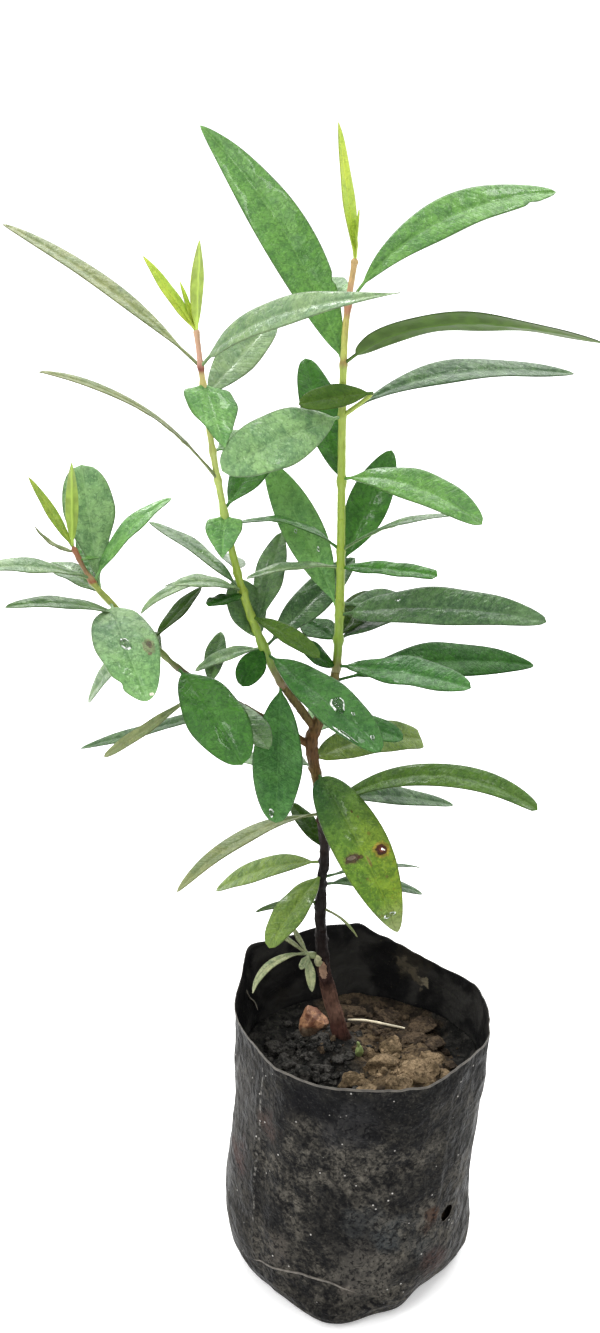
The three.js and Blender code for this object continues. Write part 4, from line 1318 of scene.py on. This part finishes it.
def soil_bed(material):
    bearing = np.linspace(0, 360, SOIL_SECTORS, endpoint=False)
    levels = [0.8, 3, 6, 10, 18, 30, 46, 62, 76, 84, RIM_BAND]
    rings = [bag_surface(bearing, np.full(SOIL_SECTORS, float(z)), SOIL_INSET + (z < 84) * 2) for z in levels]
    edge = rings[-1]
    for share in np.linspace(1, 0, SOIL_RINGS)[1:-1]:
        x = FOOT[0] + (edge[:, 0] - FOOT[0]) * share
        y = FOOT[1] + (edge[:, 1] - FOOT[1]) * share
        rim = smooth_step(share, 0.93, 1.0)
        z = soil_height(x, y) * (1 - rim) + RIM_BAND * rim
        rings.append(np.stack([x, y, z], -1))
    centre_top = [FOOT[0], FOOT[1], TRUNK_FOOT + COLLAR]
    points = np.vstack([*rings, [[BAG_LEAN, 0, levels[0]], centre_top]])
    foot = len(rings) * SOIL_SECTORS
    faces = ring_faces(len(rings), SOIL_SECTORS)
    faces += fan(foot, 0, SOIL_SECTORS, True) + fan(foot + 1, foot - SOIL_SECTORS, SOIL_SECTORS)
    build = Build()
    build.add(points, faces)
    return build.piece("soil_bed", [material], ["soil"])


def lump(build, centre, size, draw, detail, roughness=0.22, flats=9, turn=None):
    """One clod: a rough lump cut by flats."""
    ball = bmesh.new()
    bmesh.ops.create_icosphere(ball, subdivisions=detail, radius=1)
    points = np.array([v.co[:] for v in ball.verts])
    faces = [[v.index for v in f.verts] for f in ball.faces]
    ball.free()
    offset = draw.uniform(-50, 50, 3)
    points = points * (1 + roughness * noise(points + offset, 0.9, 61))[:, None]
    for _ in range(flats):
        way = draw.normal(size=3)
        way /= np.linalg.norm(way)
        reach = points @ way
        cut = draw.uniform(0.50, 0.80)
        points = points - np.outer(np.maximum(reach - cut, 0) * 0.92, way)
    coarse = 0.30 * roughness * noise(points + offset, 0.30, 62)
    fine = 0.2 * roughness * noise(points + offset, 0.14, 63)
    points = points * (1 + (coarse + fine))[:, None]
    angle = draw.uniform(0, 2 * math.pi) if turn is None else radians(turn)
    turned = points * np.array(size)
    x = turned[:, 0] * math.cos(angle) - turned[:, 1] * math.sin(angle)
    y = turned[:, 0] * math.sin(angle) + turned[:, 1] * math.cos(angle)
    build.add(np.stack([x, y, turned[:, 2]], -1) + centre, faces)


CLOD_REACH = 47.5
TRUNK_ROOM = 4.2

# Clods by region: colour, how many, middle x, middle y, spread x, spread y, least and largest radius

CLODS = {
    "soil_clods_light": ["clod_light", 120, 15, -15, 13, 9, 0.6, 2.8],
    "soil_clods_brown": ["clod_brown", 190, 12, 14, 17, 16, 0.6, 3.0],
    "soil_crumbs_dark": ["crumb_dark", 420, -18, -2, 17, 20, 0.5, 2.8],
}

# The large clods, placed one by one: x, y, half sizes, turn

BIG_CLODS = {
    "soil_clods_light": [
        [9, -10, (8.6, 7.0, 5.6), 20], [23, -17, (7.6, 6.4, 5.4), -12], [12.5, 5.5, (6.2, 5.0, 4.2), 40],
        [-2.5, -17.5, (6.8, 5.2, 4.2), 5], [28, -4, (5.4, 4.8, 3.6), 70], [33, -18, (4.2, 3.6, 3.4), 10],
        [-12, -26, (4.4, 3.6, 2.8), 30], [14, -27, (6.0, 4.8, 4.0), 0], [3, 0.5, (3.4, 2.8, 2.6), 55],
        [29, -28, (5.0, 4.0, 3.6), 35], [20, -5, (4.4, 3.6, 3.4), 15], [2, -30, (5.0, 4.2, 3.6), 80],
    ],
    "soil_clods_brown": [
        [22, 14, (6.4, 5.2, 4.0), 15], [30, 8, (5.2, 4.4, 3.6), -30], [13, 31, (9.0, 5.6, 3.4), 8],
        [-3, 32, (8.4, 5.0, 3.0), -6], [27, 25, (6.4, 5.2, 3.8), 40], [36, -4, (4.2, 3.8, 3.0), 5],
    ],
    "soil_crumbs_dark": [
        [-30, -6, (5.2, 4.2, 3.6), 30], [-24, -16, (5.0, 4.2, 3.4), 60], [-35, 10, (4.6, 4.0, 3.4), 0],
        [-17, -9, (4.2, 3.6, 2.6), 20], [-28, 6, (4.8, 3.8, 3.0), 80], [-24, 20, (4.4, 3.8, 3.0), 45],
        [-9, -6, (3.4, 2.8, 2.2), 10], [-4, -4, (3.0, 2.6, 2.0), 50],
    ],
}


def clods(name, materials, seed):
    look, count, x0, y0, spread_x, spread_y, least, largest = CLODS[name]
    draw = np.random.default_rng(seed)
    build = Build()
    for x, y, size, turn in BIG_CLODS[name]:
        lump(build, (x, y, soil_at(x, y) + size[2] * 0.28), size, draw, 4, 0.30, turn=turn)
    made = 0
    while made < count:
        x = x0 + spread_x * draw.normal() * 0.75
        y = y0 + spread_y * draw.normal() * 0.75
        radius = least + (largest - least) * draw.uniform() ** 2.4
        too_far = math.hypot(x - BAG_LEAN * 0.2, y) + radius > CLOD_REACH
        if too_far or math.hypot(x - FOOT[0], y - FOOT[1]) < TRUNK_ROOM + radius:
            continue
        size = radius * draw.uniform((0.8, 0.7, 0.5), (1.2, 1.0, 0.85))
        lump(build, (x, y, soil_at(x, y) + radius * 0.25), size, draw, 3 if radius > 1.4 else 2)
        made += 1
    return build.piece(name, [materials[look]], smooth=False)


def lumps_piece(name, material, seed, lumps):
    """A piece of a few lumps: place, half sizes, detail, roughness, flats, turn."""
    build = Build()
    draw = np.random.default_rng(seed)
    for place, size, *settings in lumps:
        lump(build, place, size, draw, *settings)
    return build.piece(name, [material])


def strand(name, route, radius, material, taper):
    """A thin straw, root or stalk along route."""
    fine = catmull_rom(route, np.linspace(0, 1, 12 * len(route)))
    share = np.linspace(-1, 1, len(fine))
    radii = radius * (1 - taper * np.abs(share) ** 4)
    build = Build()
    tube(build, fine, radii, STRAND_SIDES, lambda skin: 0.15 * radius * noise(skin, 1.2, 95))
    return build.piece(name, [material])


# Water drops on leaves: limb, height, bearing, share along, share across, half length, half width

DROPS = [
    ["left", 267, -41, 0.60, 0.12, 3.3, 2.6],
    ["left", 267, -41, 0.71, 0.30, 1.0, 0.5],
    ["left", 267, -41, 0.79, -0.84, 5.5, 0.6],
    ["left", 267, -41, 0.90, 0.25, 1.0, 0.7],
    ["left", 255, -97, 0.93, -0.35, 1.7, 0.9],
    ["far", 289, -64, 0.46, 0.0, 2.6, 1.8],
    ["main", 216.5, -53, 0.90, -0.15, 0.8, 2.6],
    ["main", 279, 142, 0.55, 0.35, 0.8, 0.6],
    ["main", 279, 142, 0.40, -0.30, 0.9, 0.5],
    ["main", 279, -33, 0.30, 0.40, 1.1, 0.6],
]
DROP_RINGS = 8
DROP_SIDES = 28


def drop(build, limb, height, bearing, at_share, at_across, reach_along, reach_across):
    """A low dome of water that follows the blade under it."""
    row = leaf_row(limb, height, bearing)
    leaf = Leaf(limb, row, seed_of(limb, row))
    half = float(leaf.half_width(np.array(at_share), np.array(at_across)))
    angle = np.linspace(0, 2 * math.pi, DROP_SIDES, endpoint=False)
    wobble = 1 + 0.12 * np.sin(2 * angle + height) + 0.08 * np.sin(3 * angle + bearing)
    rim_step = 1 - 0.35 / min(1.4, reach_across + 0.3)
    step = np.append(1, np.linspace(rim_step, 0, DROP_RINGS))[:-1, None]
    share = np.append(at_share + step * wobble * np.cos(angle) * reach_along / row[3], at_share)
    across = np.append(at_across + step * wobble * np.sin(angle) * reach_across / half, at_across)
    skin, _ = leaf.surface(share, across, True)
    _, _, normal = leaf_frame(row, share)
    rise = np.append(np.repeat(np.sqrt(1 - step[:, 0] ** 2), DROP_SIDES), 1.0)
    dome = skin + normal * (0.04 + rise[:, None] * 0.45 * min(reach_along, reach_across) ** 0.8)
    count = len(skin)
    faces = ring_faces(DROP_RINGS, DROP_SIDES) + fan(count - 1, count - 1 - DROP_SIDES, DROP_SIDES)
    under = [tuple(point + count for point in reversed(face)) for face in faces]
    rim = [(a, a + count, b + count, b) for a, b in ((face[0], face[1]) for face in faces[:DROP_SIDES])]
    # The faces where bright is 1 take the glint material, a painted reflection of the sky on the rim.
    bright = (np.sin(2 * angle + 2.4 * height) > -0.45).astype(int).tolist()
    looks = bright + [0] * (2 * len(faces) - DROP_SIDES) + bright
    build.add(np.vstack([dome, skin - normal * 0.05]), faces + under + rim, looks)


def drops(materials):
    build = Build()
    for place in DROPS:
        drop(build, *place)
    return build.piece("water_drops", materials)


# The scene

materials = {
    "film": polythene_look("polythene_outside"),
    "film_inside": inside_look("polythene_inside"),
    "film_edge": plain_look("polythene_edge", (0.085, 0.076, 0.064), 0.5, 3, 0.2),
    "seam": plain_look("seam_dust", (0.15, 0.135, 0.115), 0.7, 3, 0.3),
    "soil": ground_look("soil_ground"),
    "clod_light": soil_look("soil_clod_light", (0.105, 0.074, 0.041), (0.235, 0.168, 0.100), 6),
    "clod_brown": soil_look("soil_clod_brown", (0.030, 0.021, 0.014), (0.085, 0.060, 0.038), 5),
    "crumb_dark": soil_look("soil_crumb_dark", (0.009, 0.009, 0.008), (0.060, 0.056, 0.051), 3),
    "stone": stone_look("stone_red"),
    "straw": plain_look("dry_straw", (0.62, 0.55, 0.40), 0.5, 5, 0.1),
    "root": plain_look("white_root", (0.42, 0.39, 0.33), 0.5, 5, 0.1),
    "seedling": plain_look("seedling_green", (0.22, 0.28, 0.10), 0.5, 2, 0.15),
    "bud": plain_look("bud_pale", (0.36, 0.36, 0.20), 0.5, 1.5, 0.15),
    "water": water_look("water_clear"),
    "glint": glint_look("water_glint"),
    "bark": bark_look("trunk_bark_skin", [
        [94, (0.024, 0.013, 0.010)], [100, (0.075, 0.033, 0.026)], [108, (0.155, 0.085, 0.062)],
        [117, (0.13, 0.070, 0.050)], [124, (0.034, 0.016, 0.013)], [138, (0.008, 0.0045, 0.004)],
        [172, (0.006, 0.004, 0.0035)], [192, (0.014, 0.008, 0.006)], [204, (0.080, 0.042, 0.018)],
        [214, (0.10, 0.066, 0.014)], [224, (0.10, 0.050, 0.020)], [232, (0.12, 0.062, 0.024)],
        [242, (0.10, 0.075, 0.026)], [257, (0.12, 0.10, 0.030)],
    ]),
    "scar": plain_look("trunk_scar", (0.33, 0.20, 0.13), 0.6, 3, 0.3),
    "leader": stem_look("leader_skin", [
        [250, (0.13, 0.060, 0.028)], [258, (0.12, 0.11, 0.025)], [266, (0.15, 0.25, 0.020)],
        [290, (0.22, 0.31, 0.028)], [315, (0.24, 0.34, 0.034)],
    ]),
    "top_stem": stem_look("leader_top_skin", [
        [315, (0.24, 0.34, 0.034)], [368, (0.32, 0.41, 0.065)], [371, (0.26, 0.20, 0.06)],
        [374, (0.40, 0.44, 0.09)], [385, (0.42, 0.38, 0.10)], [389, (0.36, 0.16, 0.08)],
        [393, (0.46, 0.26, 0.14)], [400, (0.44, 0.30, 0.12)],
    ]),
    "left_top_stem": stem_look("left_top_skin", [
        [312, (0.29, 0.40, 0.072)], [360, (0.42, 0.44, 0.13)], [369, (0.45, 0.38, 0.14)],
        [371.5, (0.20, 0.05, 0.03)], [374, (0.50, 0.28, 0.20)], [384, (0.48, 0.30, 0.18)],
    ]),
    "far_stem": stem_look("far_stem_skin", [
        [244, (0.09, 0.06, 0.03)], [262, (0.08, 0.07, 0.025)], [268, (0.12, 0.16, 0.03)],
        [280, (0.22, 0.28, 0.05)], [296, (0.26, 0.31, 0.06)], [297.5, (0.26, 0.09, 0.035)],
        [299, (0.30, 0.20, 0.09)], [302, (0.20, 0.12, 0.05)], [308, (0.26, 0.10, 0.04)],
    ]),
    "twig": stem_look("sprout_twig_skin", [[131, (0.05, 0.05, 0.025)], [134, (0.22, 0.26, 0.12)]]),
}

trunk_piece(materials["bark"], materials["scar"])
bough_piece("left_bough_bark", "left", LEFT_BOUGH_FOOT, LEFT_BOUGH_TOP + 1, materials["bark"], "left_bough")
bough_piece("far_bough_bark", "far", FAR_BOUGH_FOOT, FAR_BOUGH_TOP + 1, materials["bark"], "far_left_bough")

SHOOTS = [
    ["right_shoot_lower", "main", TRUNK_TOP, 315, "leader"],
    ["right_shoot_upper", "main", 315, 406, "top_stem"],
    ["left_shoot_lower", "left", LEFT_BOUGH_TOP, 312, "leader"],
    ["left_shoot_upper", "left", 312, 385, "left_top_stem"],
    ["far_left_shoot", "far", FAR_BOUGH_TOP, 310, "far_stem"],
]
STAINED = leaf_row("far", 289, -64)
for name, limb, low, high, look in SHOOTS:
    stem_piece(name + "_stem", limb, low, high, materials[look], name, 0.72 if limb == "far" else 1.0)
    rows = [row for row in leaves_between(limb, low + 0.01, high) if row is not STAINED]
    leaf_piece(name + "_leaves", limb, rows, [name])

stem_piece("side_twig", "side", 352, 361, materials["top_stem"], "right_shoot_upper")
leaf_piece("side_leaf", "side", LEAVES["side"], ["right_shoot_upper"])

on_trunk = leaves_between("main", TRUNK_FOOT, TRUNK_TOP)
YELLOW = next(row for row in on_trunk if row[10] == "yellowing")
plain = [row for row in on_trunk if row is not YELLOW]
numbers = [f"trunk_leaf_{i + 1}" for i, row in enumerate(on_trunk) if row is not YELLOW]
leaf_piece("trunk_leaves", "main", plain, numbers)
stem_piece("sprout_twig", "sprout", 134, 137, materials["twig"], "basal_sprout")
leaf_piece("sprout_leaves", "sprout", LEAVES["sprout"], ["basal_sprout"])


def spotted_leaf(name, limb, row, looks, node, holes=()):
    """A leaf in a piece of its own, fine enough for a cut hole."""
    build = Build()
    Leaf(limb, row, seed_of(limb, row)).mesh(build, 0, 1, FINE_CELLS, holes)
    return build.piece(name, looks, [node])


yellow_looks = [yellowing_top("leaf_yellowing"), leaf_under("leaf_yellowing_under", (0.12, 0.19, 0.035))]
yellow_node = f"trunk_leaf_{on_trunk.index(YELLOW) + 1}"
bite = (0.563, 0.65, 0.45)
spotted_leaf("yellowing_leaf", "main", YELLOW, yellow_looks, yellow_node, [bite])

stained_looks = [stained_top("leaf_stained"), tone_materials("pale")[1]]
spotted_leaf("far_stained_leaf", "far", STAINED, stained_looks, "far_left_shoot")

grow_bag([materials["film"], materials["film_inside"], materials["film_edge"]])
soil_bed(materials["soil"])
for seed, name in enumerate(CLODS):
    clods(name, materials, 70 + seed)
STONE = [[(-18.2, 15.5, 96.5), (6.6, 5.0, 9.4), 5, 0.12, 9, 10]]
lumps_piece("red_stone", materials["stone"], 91, STONE)
sprout_foot = soil_at(-0.5, -3.0)
SEEDLING = [
    [(-0.5, -3.2, sprout_foot + 3.0), (1.7, 1.5, 2.9), 4, 0.10, 2, 0],
    [(-0.9, -3.0, sprout_foot + 6.0), (0.8, 0.7, 1.4), 3, 0.10, 1, 0],
]
lumps_piece("soil_seedling", materials["seedling"], 92, SEEDLING)
bud_place = limb_at("main", np.array(133.5))[0] + (-1.6, -2.6, 0)
BUD = [
    [bud_place, (1.9, 1.4, 2.8), 4, 0.12, 4, 0],
    [bud_place + (1.6, 0.2, 1.2), (0.9, 0.8, 1.5), 3, 0.12, 2, 0],
]
lumps_piece("trunk_bud", materials["bud"], 93, BUD)
drops([materials["water"], materials["glint"]])

STRAW = [[-4.5, 17.5, 97.2], [3, 17.2, 97.0], [11, 15.4, 96.4], [18.8, 13.4, 95.8]]
strand("dry_straw", STRAW, 0.5, materials["straw"], 0.3)
ROOT_BEARINGS = np.array([155, 153.5, 150, 146, 144.0])
ROOT_HEIGHTS = np.array([109, 106.5, 102.5, 98, 93.5])
ROOT = bag_surface(ROOT_BEARINGS, ROOT_HEIGHTS, FILM + 0.3)
strand("white_root", ROOT, 0.3, materials["root"], 0.6)
SEAM_BEARINGS = np.arange(218.0, 272.0, 2.0)
SEAM = bag_surface(SEAM_BEARINGS, look_up(FOOT_FOLD, SEAM_BEARINGS) + 0.3, -0.05)
strand("bag_seam", SEAM, 0.42, materials["seam"], 0.9)


# Floor, light and camera

FLOOR_REACH = 40
SENSOR = 36

# Lights: name, place, aim, size and watts

SOFTBOXES = [
    ["sky_softbox", (0.1, 1.3, 1.7), (0, 0, 0.25), (2.2, 1.8), 34],
    ["front_softbox", (-1.3, -1.4, 1.5), (0, 0, 0.2), (1.2, 1.2), 14],
    ["glint_left", (-0.5, 0.7, 1.2), (0, 0, 0.3), (0.2, 0.2), 3],
    ["glint_right", (0.6, 0.1, 1.2), (0, 0, 0.3), (0.2, 0.2), 2.5],
    ["glint_front", (-0.4, -0.7, 1.3), (0, 0, 0.3), (0.2, 0.2), 2],
]


def floor():
    mesh = bpy.data.meshes.new("floor")
    corners = [(-FLOOR_REACH, -FLOOR_REACH, 0), (FLOOR_REACH, -FLOOR_REACH, 0),
               (FLOOR_REACH, FLOOR_REACH, 0), (-FLOOR_REACH, FLOOR_REACH, 0)]
    mesh.from_pydata(corners, [], [(0, 1, 2, 3)])
    look = Look("floor_white", 0.9, 0.1)
    look.set("Base Color", (0.93, 0.93, 0.93))
    look.set("Emission Color", (1.0, 1.0, 1.0))
    look.set("Emission Strength", 0.3)
    mesh.materials.append(look.material)
    placed("floor", mesh)


def softbox(name, place, aim, size, watts):
    light = bpy.data.lights.new(name, "AREA")
    light.shape = "RECTANGLE"
    light.size, light.size_y = size
    light.energy = watts
    made = placed(name, light)
    made.location = place
    way = np.array(aim) - np.array(place)
    tilt = math.atan2(math.hypot(way[0], way[1]), -way[2])
    made.rotation_euler = (tilt, 0, math.atan2(way[1], way[0]) - math.pi / 2)
    made.visible_camera = False


def camera():
    lens = bpy.data.cameras.new("camera")
    lens.sensor_fit = "VERTICAL"
    lens.sensor_height = SENSOR
    lens.lens = SENSOR * FOCAL_PIXELS / FRAME_PIXELS
    lens.clip_end = 200
    made = placed("camera", lens)
    made.location = np.array(CAMERA_PLACE) * MM
    made.rotation_euler = (radians(90 - CAMERA_PITCH), 0, 0)
    bpy.context.scene.camera = made


def sky():
    """A soft dome, brighter above and behind the plant than in front of it."""
    world = bpy.data.worlds.new("studio")
    nodes = Nodes(world, "Background")
    nodes.set("Color", (1, 1, 1))
    way = nodes.add("TexCoord", output="Generated")
    lean = nodes.vector("DOT_PRODUCT", way, (-0.15, 0.45, 0.88), output="Value")
    nodes.set("Strength", nodes.step(lean, -0.35, 0.9, 0.42, 1.5))
    bpy.context.scene.world = world


floor()
for settings in SOFTBOXES:
    softbox(*settings)
sky()
bpy.context.scene.view_settings.view_transform = "Standard"
camera()
